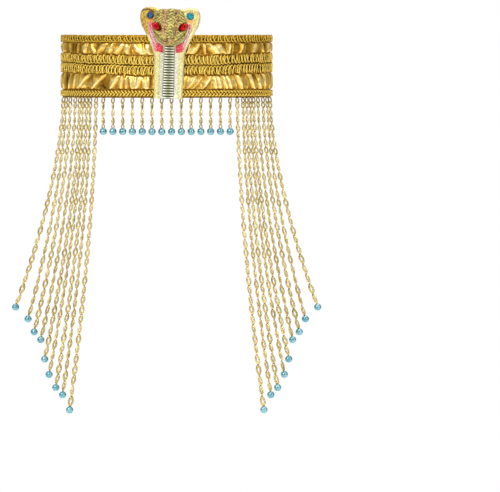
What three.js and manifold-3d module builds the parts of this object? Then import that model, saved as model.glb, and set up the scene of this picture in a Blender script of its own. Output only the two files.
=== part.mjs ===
// Snake headpiece: a gathered cloth headband with braid trims and a cobra in front,
// short bead drops over the forehead and long bead chains at both temples.
// Millimetres, +Z up, the front faces -Y, +X is to the viewer's right. The origin is the middle of
// the head opening, level with the band's lower edge.
import * as THREE from "three";
import { mergeVertices } from "three/addons/utils/BufferGeometryUtils.js";
import Module from "manifold-3d";

// Clearances between pieces
const GAP = 0.3;
const BRAID_GAP = 0.6;

// The head opening and the cloth loop round it
const HEAD_BREADTH = 163;
const HEAD_LENGTH = 194;
const CLOTH_THICKNESS = 1.5;
const CLOTH_COLUMNS = 84;
const FRONT_CROWDING = 0.25;
const GATHER_COUNT = 21;
const GATHER_LEAN = 0.6;

// Heights of the band's rows, from the hem up
const BOTTOM_BRAID_HEIGHT = 6.4;
const LOWER_PANEL_HEIGHT = 12.4;
const MIDDLE_BRAID_HEIGHT = 16;
const UPPER_PANEL_HEIGHT = 9.2;
const TOP_BRAID_HEIGHT = 6;
const LOWER_PANEL_Z = BOTTOM_BRAID_HEIGHT;
const MIDDLE_BRAID_Z = LOWER_PANEL_Z + LOWER_PANEL_HEIGHT;
const UPPER_PANEL_Z = MIDDLE_BRAID_Z + MIDDLE_BRAID_HEIGHT;
const TOP_BRAID_Z = UPPER_PANEL_Z + UPPER_PANEL_HEIGHT;
const BAND_HEIGHT = TOP_BRAID_Z + TOP_BRAID_HEIGHT;

// How far each cloth panel puffs out between the braids, and the share of that in its gathers
const LOWER_PANEL = {
  z: LOWER_PANEL_Z,
  height: LOWER_PANEL_HEIGHT,
  puff: 2.4,
  gatherShare: 0.45,
  rowShares: [0.3, 0.72],
};
const UPPER_PANEL = {
  z: UPPER_PANEL_Z,
  height: UPPER_PANEL_HEIGHT,
  puff: 2,
  gatherShare: 0.3,
  rowShares: [0.5],
};

// Braid trims
const BRAID_THICKNESS = 2;
const BRAID_EDGE = 0.8;
const BRAID_COLUMNS = CLOTH_COLUMNS / 2;

// The cobra: its place in front, how many degrees it leans to the viewer's right about its middle, its
// plate, and the right half of its outline from the neck up to the dip between the hood's lobes
const SNAKE_X = 2.1;
const SNAKE_LEAN = 1.7;
const SNAKE_MIDDLE_Z = 36;
const PLATE_THICKNESS = 2.4;
const PLATE_BEVEL = 0.5;
const SNAKE_BOTTOM_Z = -0.8;
const BODY_HALF_WIDTH = 11.4;
const NECK = { x: 12, z: 34 };
const HOOD_CURVES = [
  { bendX: 15, bendZ: 44, x: 22.2, z: 56.2 },
  { bendX: 23.9, bendZ: 60.2, x: 23.9, z: 64.2 },
  { bendX: 23.9, bendZ: 68.4, x: 21.4, z: 70.4 },
  { bendX: 19.4, bendZ: 71.7, x: 15, z: 71.7 },
  { bendX: 7.5, bendZ: 70, x: 0, z: 70 },
];

// The cobra's head, chin first: half width and how far it stands out of the plate
const HEAD_SECTIONS = [
  { z: 41.4, halfWidth: 0, depth: 0 },
  { z: 42.2, halfWidth: 4.2, depth: 5.2 },
  { z: 45, halfWidth: 8.6, depth: 7.8 },
  { z: 49.5, halfWidth: 12.2, depth: 8.4 },
  { z: 55, halfWidth: 13.2, depth: 7.2 },
  { z: 62, halfWidth: 11.6, depth: 5.6 },
  { z: 68.4, halfWidth: 10, depth: 4.4 },
  { z: 70.2, halfWidth: 7, depth: 2.4 },
  { z: 70.4, halfWidth: 0, depth: 0 },
];
const HEAD_COLUMNS = 16;
const CUTTING_BLOCK = 60;

// The cobra's belly strip, stones and throat marks
const SCUTE_COUNT = 20;
const SCUTE_HALF_WIDTH = 4;
const SCUTE_TOP_Z = 40.8;
const SCUTE_BASE = 0.5;
const SCUTE_RISE = 0.9;
const SCUTE_LIP_SHARE = 0.15;
const HOOD_JEWEL = {
  x: 15.7,
  z: 65,
  radius: 2.6,
  girdleHeight: 0.8,
  height: 1.9,
  tableShare: 0.58,
  baseShare: 0.8,
  sides: 10,
};
const EYE_STONE = {
  x: 10.8,
  z: 56.3,
  length: 8.4,
  width: 5.2,
  height: 5.2,
  bevel: 0.9,
  turn: 0.6,
  pointedness: 0.4,
  points: 10,
};
const THROAT_MARK = {
  tip: { x: 17.6, z: 59.2 },
  outerBend: { x: 16.2, z: 51 },
  outerTop: { x: 13, z: 44.4 },
  outerFoot: { x: 11.2, z: 37.2 },
  innerFoot: { x: 5, z: 35.6 },
  innerTop: { x: 5, z: 41 },
  innerCorner: { x: 10.8, z: 44.2 },
  innerBend: { x: 13.6, z: 49 },
  thickness: 0.8,
};

// Turquoise beads and the short drops over the forehead
const BEAD_RADIUS = 2.9;
const BEAD_SIDES = 10;
const BEAD_ROWS = 4;
const CHAIN_OUTSET = 2.2;
const FRONT_DROP_COUNT = 14;
const FRONT_DROP_PITCH = 7.76;
const FRONT_BEAD_Z = -26.8;
const CHAIN_SIDES = 8;
const FRONT_CHAIN_PROFILE = [
  { z: -GAP, radius: 1.2 },
  { z: -4.8, radius: 1.2 },
  { z: -8.4, radius: 1.7 },
  { z: -12.2, radius: 1.1 },
  { z: -16.2, radius: 1.7 },
  { z: FRONT_BEAD_Z + BEAD_RADIUS + GAP, radius: 1.2 },
];

// Long chains at the temples, the innermost first: how far from the middle they start,
// how far they swing out and how far below the hem their beads hang
const LONG_CHAINS = [
  { topX: 56.2, reach: 21.2, drop: 248.7 },
  { topX: 60.8, reach: 22.2, drop: 236.9 },
  { topX: 63.8, reach: 24.7, drop: 231.3 },
  { topX: 66.8, reach: 27.1, drop: 221 },
  { topX: 69.4, reach: 28.1, drop: 208.9 },
  { topX: 73, reach: 27.7, drop: 193.7 },
  { topX: 77.1, reach: 29.1, drop: 187.8 },
  { topX: 80.6, reach: 30.7, drop: 177.8 },
  { topX: 83, reach: 38.5, drop: 168.7 },
];
const SWING_POWER = 1.6;
const STRAND_DIAMETER = 3.8;
const STRAND_STEPS = 12;
const STRAND_CURVE_POINTS = 7;

const TURN = 2 * Math.PI;

const wasm = await Module();
wasm.setup();

function finish(color, roughness, metalness) {
  return new THREE.MeshStandardMaterial({ color, roughness, metalness });
}

const LAME = finish(0xc79a45, 0.35, 0.6);
const GIMP = finish(0xb8862c, 0.5, 0.4);
const PALE_GOLD = finish(0xe3d79a, 0.35, 0.5);
const KHAKI_GOLD = finish(0x8d7a3e, 0.45, 0.4);
const SCUTE_OLIVE = finish(0x4a4a28, 0.5, 0.1);
const BLUE_STONE = finish(0x1f6f9f, 0.1, 0);
const RED_STONE = finish(0xb40f22, 0.1, 0);
const RED_GLITTER = finish(0xd8304f, 0.4, 0.2);
const CHAIN_GOLD = finish(0xc9a04a, 0.25, 1);
const TURQUOISE = finish(0x52b5bd, 0.25, 0);

// Solids for joining and cutting

function solidOf(geometry) {
  const bare = geometry.clone();
  bare.deleteAttribute("normal");
  bare.deleteAttribute("uv");
  const merged = mergeVertices(bare, 1e-3);
  const vertProperties = new Float32Array(merged.getAttribute("position").array);
  const triVerts = new Uint32Array(merged.getIndex().array);
  return new wasm.Manifold(new wasm.Mesh({ numProp: 3, vertProperties, triVerts }));
}

function geometryOf(solid) {
  const { vertProperties, triVerts } = solid.getMesh();
  const geometry = new THREE.BufferGeometry();
  geometry.setAttribute("position", new THREE.BufferAttribute(vertProperties, 3));
  geometry.setIndex(new THREE.BufferAttribute(triVerts, 1));
  geometry.computeVertexNormals();
  return geometry;
}

// The band: closed sections carried round the head opening

function onLoop(angle, outset, z) {
  const x = (HEAD_BREADTH / 2 + outset) * Math.sin(angle);
  const y = -(HEAD_LENGTH / 2 + outset) * Math.cos(angle);
  return new THREE.Vector3(x, y, z);
}

function columnAngle(turn) {
  return turn - FRONT_CROWDING * Math.sin(turn);
}

function loopSolid(section, columns) {
  const rows = [...section, section[0]];
  const outline = rows.map((row) => new THREE.Vector2(HEAD_BREADTH, row.z));
  const lathe = new THREE.LatheGeometry(outline, columns);
  const position = lathe.getAttribute("position");
  for (let i = 0; i < position.count; i++) {
    const turn = (TURN * (Math.floor(i / rows.length) % columns)) / columns;
    const row = rows[i % rows.length];
    const point = onLoop(columnAngle(turn), row.outset(turn), row.z);
    position.setXYZ(i, point.x, point.y, point.z);
  }
  return lathe;
}

// Gathers lean in towards the cobra at both sides and stand upright in front and behind
function panelRow(panel, share) {
  const across = Math.sin(Math.PI * share);
  const outset = (turn) => {
    const lean = GATHER_LEAN * Math.sin(turn) * (share - 0.5);
    const ridge = Math.cos(GATHER_COUNT * turn + TURN * lean);
    const swell = 1 - panel.gatherShare + panel.gatherShare * ridge;
    return CLOTH_THICKNESS + panel.puff * across * swell;
  };
  return { z: panel.z + panel.height * share, outset };
}

function clothBand() {
  const inside = () => 0;
  const stitched = () => CLOTH_THICKNESS;
  const section = [
    { z: 0, outset: inside },
    { z: 0, outset: stitched },
    { z: LOWER_PANEL_Z, outset: stitched },
    ...LOWER_PANEL.rowShares.map((share) => panelRow(LOWER_PANEL, share)),
    { z: MIDDLE_BRAID_Z, outset: stitched },
    { z: UPPER_PANEL_Z, outset: stitched },
    ...UPPER_PANEL.rowShares.map((share) => panelRow(UPPER_PANEL, share)),
    { z: TOP_BRAID_Z, outset: stitched },
    { z: BAND_HEIGHT, outset: stitched },
    { z: BAND_HEIGHT, outset: inside },
  ];
  return loopSolid(section, CLOTH_COLUMNS);
}

// One braid: a flat back and a rounded bead for each of its rows of loops
function braid(low, height, rowCount) {
  const back = CLOTH_THICKNESS + BRAID_GAP;
  const rowHeight = height / rowCount;
  const section = [{ z: low, outset: () => back }];
  for (let row = 0; row < rowCount; row++) {
    const bottom = low + row * rowHeight;
    section.push({ z: bottom + BRAID_EDGE, outset: () => back + BRAID_THICKNESS });
    section.push({ z: bottom + rowHeight - BRAID_EDGE, outset: () => back + BRAID_THICKNESS });
    if (row < rowCount - 1) {
      section.push({ z: bottom + rowHeight, outset: () => back + BRAID_THICKNESS / 2 });
    }
  }
  section.push({ z: low + height, outset: () => back });
  return loopSolid(section, BRAID_COLUMNS);
}

// The cobra, drawn in its own upright plane: x to the right, z up, front faces -Y

const PLATE_BACK_Y = -(HEAD_LENGTH / 2 + CLOTH_THICKNESS + BRAID_GAP + BRAID_THICKNESS + GAP);
const PLATE_FRONT_Y = PLATE_BACK_Y - PLATE_THICKNESS;
const RELIEF_Y = PLATE_FRONT_Y - GAP;

function standingPlate(shape, thickness, bevel, backY) {
  const geometry = new THREE.ExtrudeGeometry(shape, {
    depth: thickness - 2 * bevel,
    bevelEnabled: bevel > 0,
    bevelThickness: bevel,
    bevelSize: bevel,
    bevelOffset: -bevel,
    bevelSegments: 1,
    curveSegments: 4,
  });
  geometry.translate(0, 0, bevel);
  geometry.rotateX(TURN / 4);
  geometry.translate(SNAKE_X, backY, 0);
  return geometry;
}

function hoodShape() {
  const shape = new THREE.Shape();
  shape.moveTo(-BODY_HALF_WIDTH, SNAKE_BOTTOM_Z);
  shape.lineTo(BODY_HALF_WIDTH, SNAKE_BOTTOM_Z);
  shape.lineTo(NECK.x, NECK.z);
  for (const curve of HOOD_CURVES) {
    shape.quadraticCurveTo(curve.bendX, curve.bendZ, curve.x, curve.z);
  }
  const starts = [NECK, ...HOOD_CURVES];
  for (let i = HOOD_CURVES.length - 1; i >= 0; i--) {
    shape.quadraticCurveTo(-HOOD_CURVES[i].bendX, HOOD_CURVES[i].bendZ, -starts[i].x, starts[i].z);
  }
  return shape;
}

// A pointed oval stone, its long axis running down towards the snout
function eyeShape(side, margin) {
  const points = [];
  for (let i = 0; i < EYE_STONE.points; i++) {
    const angle = (TURN * i) / EYE_STONE.points;
    const swell = Math.sin(angle) * Math.abs(Math.sin(angle)) ** EYE_STONE.pointedness;
    const along = (EYE_STONE.length / 2 + margin) * Math.cos(angle);
    const across = (EYE_STONE.width / 2 + margin) * swell;
    const point = new THREE.Vector2(along, across).rotateAround(new THREE.Vector2(), side * EYE_STONE.turn);
    points.push(point.add(new THREE.Vector2(side * EYE_STONE.x, EYE_STONE.z)));
  }
  return new THREE.Shape(points);
}

function eyeStone(side) {
  return standingPlate(eyeShape(side, 0), EYE_STONE.height, EYE_STONE.bevel, RELIEF_Y);
}

// Half an egg with a flat back, and a pocket through it for each eye stone
function snakeHead() {
  const outline = HEAD_SECTIONS.map((section) => new THREE.Vector2(section.halfWidth, section.z));
  const lathe = new THREE.LatheGeometry(outline, HEAD_COLUMNS);
  const position = lathe.getAttribute("position");
  for (let i = 0; i < position.count; i++) {
    const section = HEAD_SECTIONS[i % HEAD_SECTIONS.length];
    const turn = (TURN * (Math.floor(i / HEAD_SECTIONS.length) % HEAD_COLUMNS)) / HEAD_COLUMNS;
    const x = SNAKE_X + section.halfWidth * Math.sin(turn);
    position.setXYZ(i, x, RELIEF_Y - section.depth * Math.cos(turn), section.z);
  }
  const behind = new THREE.BoxGeometry(CUTTING_BLOCK, CUTTING_BLOCK, CUTTING_BLOCK);
  behind.translate(SNAKE_X, RELIEF_Y + CUTTING_BLOCK / 2, EYE_STONE.z);
  let head = solidOf(lathe).subtract(solidOf(behind));
  for (const side of [-1, 1]) {
    const pocket = standingPlate(eyeShape(side, GAP), CUTTING_BLOCK, 0, RELIEF_Y + CUTTING_BLOCK / 2);
    head = head.subtract(solidOf(pocket));
  }
  return geometryOf(head);
}

// Overlapping belly scales: each slopes out to its lower edge and steps back under it
function bellyScutes() {
  const pitch = (SCUTE_TOP_Z - SNAKE_BOTTOM_Z) / SCUTE_COUNT;
  const side = new THREE.Shape();
  side.moveTo(0, SNAKE_BOTTOM_Z);
  for (let i = 0; i < SCUTE_COUNT; i++) {
    const low = SNAKE_BOTTOM_Z + i * pitch;
    side.lineTo(SCUTE_BASE + SCUTE_RISE, low + SCUTE_LIP_SHARE * pitch);
    side.lineTo(SCUTE_BASE, low + pitch);
  }
  side.lineTo(0, SCUTE_TOP_Z);
  const geometry = new THREE.ExtrudeGeometry(side, { depth: 2 * SCUTE_HALF_WIDTH, bevelEnabled: false });
  geometry.rotateX(TURN / 4);
  geometry.rotateZ(-TURN / 4);
  geometry.translate(SNAKE_X + SCUTE_HALF_WIDTH, RELIEF_Y, 0);
  return geometry;
}

function hoodJewel(side) {
  const { radius, girdleHeight, height, tableShare, baseShare } = HOOD_JEWEL;
  const outline = [
    new THREE.Vector2(0, 0),
    new THREE.Vector2(radius * baseShare, 0),
    new THREE.Vector2(radius, girdleHeight),
    new THREE.Vector2(radius * tableShare, height),
    new THREE.Vector2(0, height),
  ];
  const geometry = new THREE.LatheGeometry(outline, HOOD_JEWEL.sides);
  geometry.rotateX(TURN / 2);
  geometry.translate(SNAKE_X + side * HOOD_JEWEL.x, RELIEF_Y, HOOD_JEWEL.z);
  return geometry;
}

function throatMark(side) {
  const { tip, outerBend, outerTop, outerFoot, innerFoot, innerTop, innerCorner, innerBend } = THROAT_MARK;
  const shape = new THREE.Shape();
  shape.moveTo(side * tip.x, tip.z);
  shape.quadraticCurveTo(side * outerBend.x, outerBend.z, side * outerTop.x, outerTop.z);
  shape.lineTo(side * outerFoot.x, outerFoot.z);
  shape.lineTo(side * innerFoot.x, innerFoot.z);
  shape.lineTo(side * innerTop.x, innerTop.z);
  shape.lineTo(side * innerCorner.x, innerCorner.z);
  shape.quadraticCurveTo(side * innerBend.x, innerBend.z, side * tip.x, tip.z);
  return standingPlate(shape, THROAT_MARK.thickness, 0, RELIEF_Y);
}

// Beads and chains

function bead() {
  const geometry = new THREE.SphereGeometry(BEAD_RADIUS, BEAD_SIDES, BEAD_ROWS);
  return geometry.rotateX(TURN / 4);
}

function hangingPoint(x) {
  const angle = Math.asin(x / (HEAD_BREADTH / 2 + CHAIN_OUTSET));
  return onLoop(angle, CHAIN_OUTSET, 0);
}

// A short drop's chain: two swelling links between a ring and a cap
function frontChain() {
  const first = FRONT_CHAIN_PROFILE[0];
  const last = FRONT_CHAIN_PROFILE[FRONT_CHAIN_PROFILE.length - 1];
  const outline = [
    new THREE.Vector2(0, last.z),
    ...FRONT_CHAIN_PROFILE.toReversed().map((row) => new THREE.Vector2(row.radius, row.z)),
    new THREE.Vector2(0, first.z),
  ];
  return new THREE.LatheGeometry(outline, CHAIN_SIDES).rotateX(TURN / 4);
}

// A long chain as a tube with its bead: straight down at first, then swinging out
function longStrand(chain, side) {
  const top = hangingPoint(chain.topX);
  const points = [];
  for (let i = 0; i < STRAND_CURVE_POINTS; i++) {
    const share = i / (STRAND_CURVE_POINTS - 1);
    const x = side * (chain.topX + chain.reach * share ** SWING_POWER);
    points.push(new THREE.Vector3(x, top.y, -GAP - (chain.drop - GAP) * share));
  }
  const path = new THREE.CatmullRomCurve3(points);
  const section = [];
  for (let i = 0; i < CHAIN_SIDES; i++) {
    const angle = (TURN * i) / CHAIN_SIDES;
    section.push(new THREE.Vector2(Math.cos(angle), Math.sin(angle)).multiplyScalar(STRAND_DIAMETER / 2));
  }
  const tube = new THREE.ExtrudeGeometry(new THREE.Shape(section), {
    steps: STRAND_STEPS,
    extrudePath: path,
    bevelEnabled: false,
  });
  const end = points[points.length - 1];
  const endBead = bead().translate(end.x, end.y, end.z);
  return geometryOf(solidOf(tube).add(solidOf(endBead)));
}

// Assembly

const headpiece = new THREE.Group();

function add(name, geometry, material, place = new THREE.Vector3(), group = headpiece) {
  const mesh = new THREE.Mesh(geometry, material);
  mesh.name = name;
  mesh.position.copy(place);
  group.add(mesh);
}

// The cobra's group turns about the cobra's middle
const cobra = new THREE.Group();
const cobraMiddle = new THREE.Vector3(SNAKE_X, 0, SNAKE_MIDDLE_Z);
cobra.rotation.y = THREE.MathUtils.degToRad(SNAKE_LEAN);
cobra.position.copy(cobraMiddle).sub(cobraMiddle.clone().applyEuler(cobra.rotation));
headpiece.add(cobra);

function addToCobra(name, geometry, material) {
  add(name, geometry, material, new THREE.Vector3(), cobra);
}

add("band_cloth", clothBand(), LAME);
add("bottom_braid", braid(0, BOTTOM_BRAID_HEIGHT, 1), GIMP);
add("middle_braid", braid(MIDDLE_BRAID_Z, MIDDLE_BRAID_HEIGHT, 2), GIMP);
add("top_braid", braid(TOP_BRAID_Z, TOP_BRAID_HEIGHT, 1), GIMP);

addToCobra("snake_hood", standingPlate(hoodShape(), PLATE_THICKNESS, PLATE_BEVEL, PLATE_BACK_Y), PALE_GOLD);
addToCobra("snake_head", snakeHead(), KHAKI_GOLD);
addToCobra("belly_scutes", bellyScutes(), SCUTE_OLIVE);
for (const [sideName, side] of [["left", -1], ["right", 1]]) {
  addToCobra(`hood_jewel_${sideName}`, hoodJewel(side), BLUE_STONE);
  addToCobra(`eye_stone_${sideName}`, eyeStone(side), RED_STONE);
  addToCobra(`throat_mark_${sideName}`, throatMark(side), RED_GLITTER);
}

for (let i = 0; i < FRONT_DROP_COUNT; i++) {
  const number = String(i + 1).padStart(2, "0");
  const place = hangingPoint((i - (FRONT_DROP_COUNT - 1) / 2) * FRONT_DROP_PITCH);
  add(`front_chain_${number}`, frontChain(), CHAIN_GOLD, place);
  const beadPlace = place.clone().setZ(FRONT_BEAD_Z);
  add(`front_bead_${number}`, bead(), TURQUOISE, beadPlace);
}

for (const [sideName, side] of [["left", -1], ["right", 1]]) {
  LONG_CHAINS.forEach((chain, i) => {
    add(`${sideName}_strand_${i + 1}`, longStrand(chain, side), CHAIN_GOLD);
  });
}

export default headpiece;
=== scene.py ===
import math

import bpy
import numpy as np
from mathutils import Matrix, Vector


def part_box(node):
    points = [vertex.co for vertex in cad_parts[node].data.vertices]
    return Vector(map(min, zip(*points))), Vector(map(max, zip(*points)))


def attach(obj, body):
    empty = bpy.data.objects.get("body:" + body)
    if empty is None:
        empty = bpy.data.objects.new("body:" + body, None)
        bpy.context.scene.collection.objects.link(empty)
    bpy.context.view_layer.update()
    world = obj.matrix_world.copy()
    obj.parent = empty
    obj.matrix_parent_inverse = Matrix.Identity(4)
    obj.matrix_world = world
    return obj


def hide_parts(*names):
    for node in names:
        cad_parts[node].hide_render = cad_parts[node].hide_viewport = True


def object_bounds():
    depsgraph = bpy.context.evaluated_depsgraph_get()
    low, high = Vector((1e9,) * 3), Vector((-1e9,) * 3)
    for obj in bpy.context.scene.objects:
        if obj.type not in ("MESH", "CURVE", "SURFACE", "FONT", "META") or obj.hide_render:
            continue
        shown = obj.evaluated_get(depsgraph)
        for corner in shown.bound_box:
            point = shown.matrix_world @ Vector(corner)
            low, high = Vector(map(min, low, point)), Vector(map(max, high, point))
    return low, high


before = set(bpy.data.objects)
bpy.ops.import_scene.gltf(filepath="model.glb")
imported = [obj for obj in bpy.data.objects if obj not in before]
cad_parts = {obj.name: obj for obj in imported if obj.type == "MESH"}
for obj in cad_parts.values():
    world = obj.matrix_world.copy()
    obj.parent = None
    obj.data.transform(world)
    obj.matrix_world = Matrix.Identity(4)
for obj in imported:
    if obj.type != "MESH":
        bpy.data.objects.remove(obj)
cad_box = [list(corner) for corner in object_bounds()]

# The studio: a pale floor well below the hanging beads, a white surround and three soft lamps.
# The lens is long and level with the band, so that the band's edges run straight across the picture.
MM = 0.001
PIXEL = 0.8 * MM
PICTURE_WIDTH, PICTURE_HEIGHT = 500, 492
ORIGIN_PIXEL_X, ORIGIN_PIXEL_Y = 166.7, 97.5
CAMERA_DISTANCE = 6.0
CAMERA_HEIGHT = 30 * MM
STRANDS_Y = -45 * MM
SENSOR_WIDTH = 36.0
FAR_CLIP = 100.0
FLOOR_BELOW = 150 * MM
FLOOR_RADIUS, FLOOR_SIDES = 1.1, 96
FLOOR_GLOW = 0.25
SURROUND = ((0.0, 0.42), (0.12, 0.3), (0.4, 0.75), (1.0, 1.0))        # sine of the elevation, brightness
LAMPS = (
    # name, place, width, height, watts
    ("key_lamp", (-1.9, -3.0, 1.9), 1.6, 1.6, 72.0),
    ("fill_lamp", (2.6, -2.6, 0.7), 1.2, 2.0, 32.0),
    ("top_lamp", (0.3, 0.6, 2.9), 2.4, 2.4, 48.0),
)


class Value:
    """A number or colour that varies over a surface. Sums on it add Math nodes to its material."""

    def __init__(self, paint, socket):
        self.paint = paint
        self.socket = socket

    def math(self, operation, *others):
        node = self.paint.tree.nodes.new("ShaderNodeMath")
        node.operation = operation
        for socket, value in zip(node.inputs, (self, *others)):
            self.paint.feed(socket, value)
        return Value(self.paint, node.outputs[0])

    def __add__(self, other):
        return self.math("ADD", other)

    def __sub__(self, other):
        return self.math("SUBTRACT", other)

    def __rsub__(self, other):
        return (self * -1.0) + other

    def __mul__(self, other):
        return self.math("MULTIPLY", other)

    __radd__ = __add__
    __rmul__ = __mul__

    def wave(self):
        return self.math("SINE") * 0.5 + 0.5

    def clear_of(self, low, high):
        """0 below low, 1 above high, and a smooth step between."""
        step = self.paint.make("ShaderNodeMapRange", {"interpolation_type": "SMOOTHSTEP"},
                               Value=self, From_Min=low, From_Max=high)
        return step["Result"]


class Paint:
    """A material and its nodes. make() adds a node and gives its outputs by name."""

    def __init__(self, name):
        self.material = bpy.data.materials.new(name)
        self.material.use_nodes = True
        self.tree = self.material.node_tree
        self.shader = self.tree.nodes["Principled BSDF"]

    def feed(self, socket, value):
        if isinstance(value, Value):
            self.tree.links.new(value.socket, socket)
        elif isinstance(value, tuple) and socket.type == "RGBA":
            socket.default_value = (*value, 1.0)
        else:
            socket.default_value = value

    def make(self, kind, settings=None, **sockets):
        node = self.tree.nodes.new(kind)
        for name, value in (settings or {}).items():
            if name == "stops":
                ramp = node.color_ramp.elements
                while len(ramp) < len(value):
                    ramp.new(0.5)
                for element, (position, colour) in zip(ramp, value):
                    element.position = position
                    element.color = (*colour, 1.0)
            else:
                setattr(node, name, value)
        for name, value in sockets.items():
            plain = name.replace("_", " ")
            self.feed(next(s for s in node.inputs if s.enabled and s.name == plain), value)
        return {s.name: Value(self, s) for s in node.outputs if s.enabled}

    def place(self):
        return self.make("ShaderNodeTexCoord")["Object"]

    def attribute(self, name):
        return self.make("ShaderNodeAttribute", {"attribute_name": name})["Fac"]

    def blend(self, factor, first, second):
        return self.make("ShaderNodeMix", {"data_type": "RGBA"}, Factor=factor, A=first, B=second)["Result"]

    def noise(self, vector, scale, detail):
        return self.make("ShaderNodeTexNoise", Vector=vector, Scale=scale, Detail=detail)["Fac"]

    def bump(self, height, distance, strength):
        return self.make("ShaderNodeBump", Height=height, Distance=distance, Strength=strength)["Normal"]

    def finish(self, **sockets):
        for name, value in sockets.items():
            self.feed(self.shader.inputs[name.replace("_", " ")], value)
        return self.material


def start_from(primitive, name, **sizes):
    """A new piece from one of Blender's own shapes, with nothing else selected."""
    bpy.ops.object.select_all(action="DESELECT")
    primitive(**sizes)
    piece = bpy.context.object
    piece.name = name
    return piece


aim = Vector((
    (PICTURE_WIDTH / 2 - ORIGIN_PIXEL_X) * PIXEL,
    STRANDS_Y,
    (ORIGIN_PIXEL_Y - PICTURE_HEIGHT / 2) * PIXEL,
))
bpy.ops.object.camera_add(location=(0, STRANDS_Y - CAMERA_DISTANCE, CAMERA_HEIGHT))
camera = bpy.context.object
camera.rotation_euler = (aim - camera.location).to_track_quat("-Z", "Y").to_euler()
camera.data.sensor_width = SENSOR_WIDTH
camera.data.lens = SENSOR_WIDTH * CAMERA_DISTANCE / (PICTURE_WIDTH * PIXEL)
camera.data.clip_end = FAR_CLIP
bpy.context.scene.camera = camera

floor = start_from(bpy.ops.mesh.primitive_circle_add, "floor", vertices=FLOOR_SIDES, radius=FLOOR_RADIUS,
                   fill_type="NGON", location=(0, 0, cad_box[0][2] - FLOOR_BELOW))
pale_floor = Paint("pale_floor")
floor.data.materials.append(pale_floor.finish(
    Base_Color=(0.92, 0.92, 0.92),
    Roughness=0.9,
    Emission_Color=(1.0, 1.0, 1.0),
    Emission_Strength=FLOOR_GLOW,
))

for name, lamp_place, width, height, watts in LAMPS:
    bpy.ops.object.light_add(type="AREA", location=lamp_place)
    lamp = bpy.context.object
    lamp.name = name
    lamp.data.shape = "RECTANGLE"
    lamp.data.size = width
    lamp.data.size_y = height
    lamp.data.energy = watts
    lamp.rotation_euler = (-lamp.location).to_track_quat("-Z", "Y").to_euler()

world = bpy.data.worlds.new("white_surround")
world.use_nodes = True
bpy.context.scene.world = world
surround = world.node_tree
sky = surround.nodes["Background"]
elevation = surround.nodes.new("ShaderNodeSeparateXYZ")
shading = surround.nodes.new("ShaderNodeValToRGB")
while len(shading.color_ramp.elements) < len(SURROUND):
    shading.color_ramp.elements.new(0.5)
for element, (position, brightness) in zip(shading.color_ramp.elements, SURROUND):
    element.position = position
    element.color = (brightness, brightness, brightness, 1.0)
backdrop = surround.nodes.new("ShaderNodeBackground")
backdrop.inputs["Color"].default_value = (1.0, 1.0, 1.0, 1.0)
seen = surround.nodes.new("ShaderNodeLightPath")
choice = surround.nodes.new("ShaderNodeMixShader")
for output, socket in (
    (surround.nodes.new("ShaderNodeTexCoord").outputs["Generated"], elevation.inputs[0]),
    (elevation.outputs["Z"], shading.inputs[0]),
    (shading.outputs["Color"], sky.inputs["Color"]),
    (seen.outputs["Is Camera Ray"], choice.inputs[0]),
    (sky.outputs[0], choice.inputs[1]),
    (backdrop.outputs[0], choice.inputs[2]),
    (choice.outputs[0], surround.nodes["World Output"].inputs["Surface"]),
):
    surround.links.new(output, socket)
bpy.context.scene.view_settings.view_transform = "Standard"


# The band: a loop of gold lame, gathered between three rows of stitching so that it puffs and folds.
# The cloth starts from its main folds and is then simulated, with more cloth than the stitching has room for.
# A smooth lining closes it inside.
LOOP_INSIDE = 4.1 * MM
CLOTH_WALL = 1.5 * MM
BAND_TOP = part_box("top_braid")[1].z
LOWER_PANEL = (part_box("bottom_braid")[1].z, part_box("middle_braid")[0].z)
UPPER_PANEL = (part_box("middle_braid")[1].z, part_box("top_braid")[0].z)
PANELS = {"lower": LOWER_PANEL, "upper": UPPER_PANEL}
PANEL_ROWS = {"lower": 21, "upper": 15}
STITCHED_ROWS, LINING_ROWS = 3, 4
CLOTH_COLUMNS = 900
SIM_SCALE = 20.0
SIM_FRAMES = 16
CLOTH_SETTINGS = {
    "quality": 6,
    "mass": 0.2,
    "tension_stiffness": 20,
    "compression_stiffness": 20,
    "shear_stiffness": 8,
    "bending_stiffness": 0.04,
    "air_damping": 2.0,
    "shrink_min": -0.07,        # the cloth grows by this share, and puffs because its edges are held
    "use_pressure": True,
    "uniform_pressure_force": 0.08,
}
LEAST_PUFF, MOST_PUFF = -0.6 * MM, 2.7 * MM
PUFF_STEPS, PUFF_RANGE = 61, (0.3, 1.2)
EDGE_LIGHT = 0.35        # how much lighter the painted shade leaves the cloth along its stitching than in a crease as deep
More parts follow.
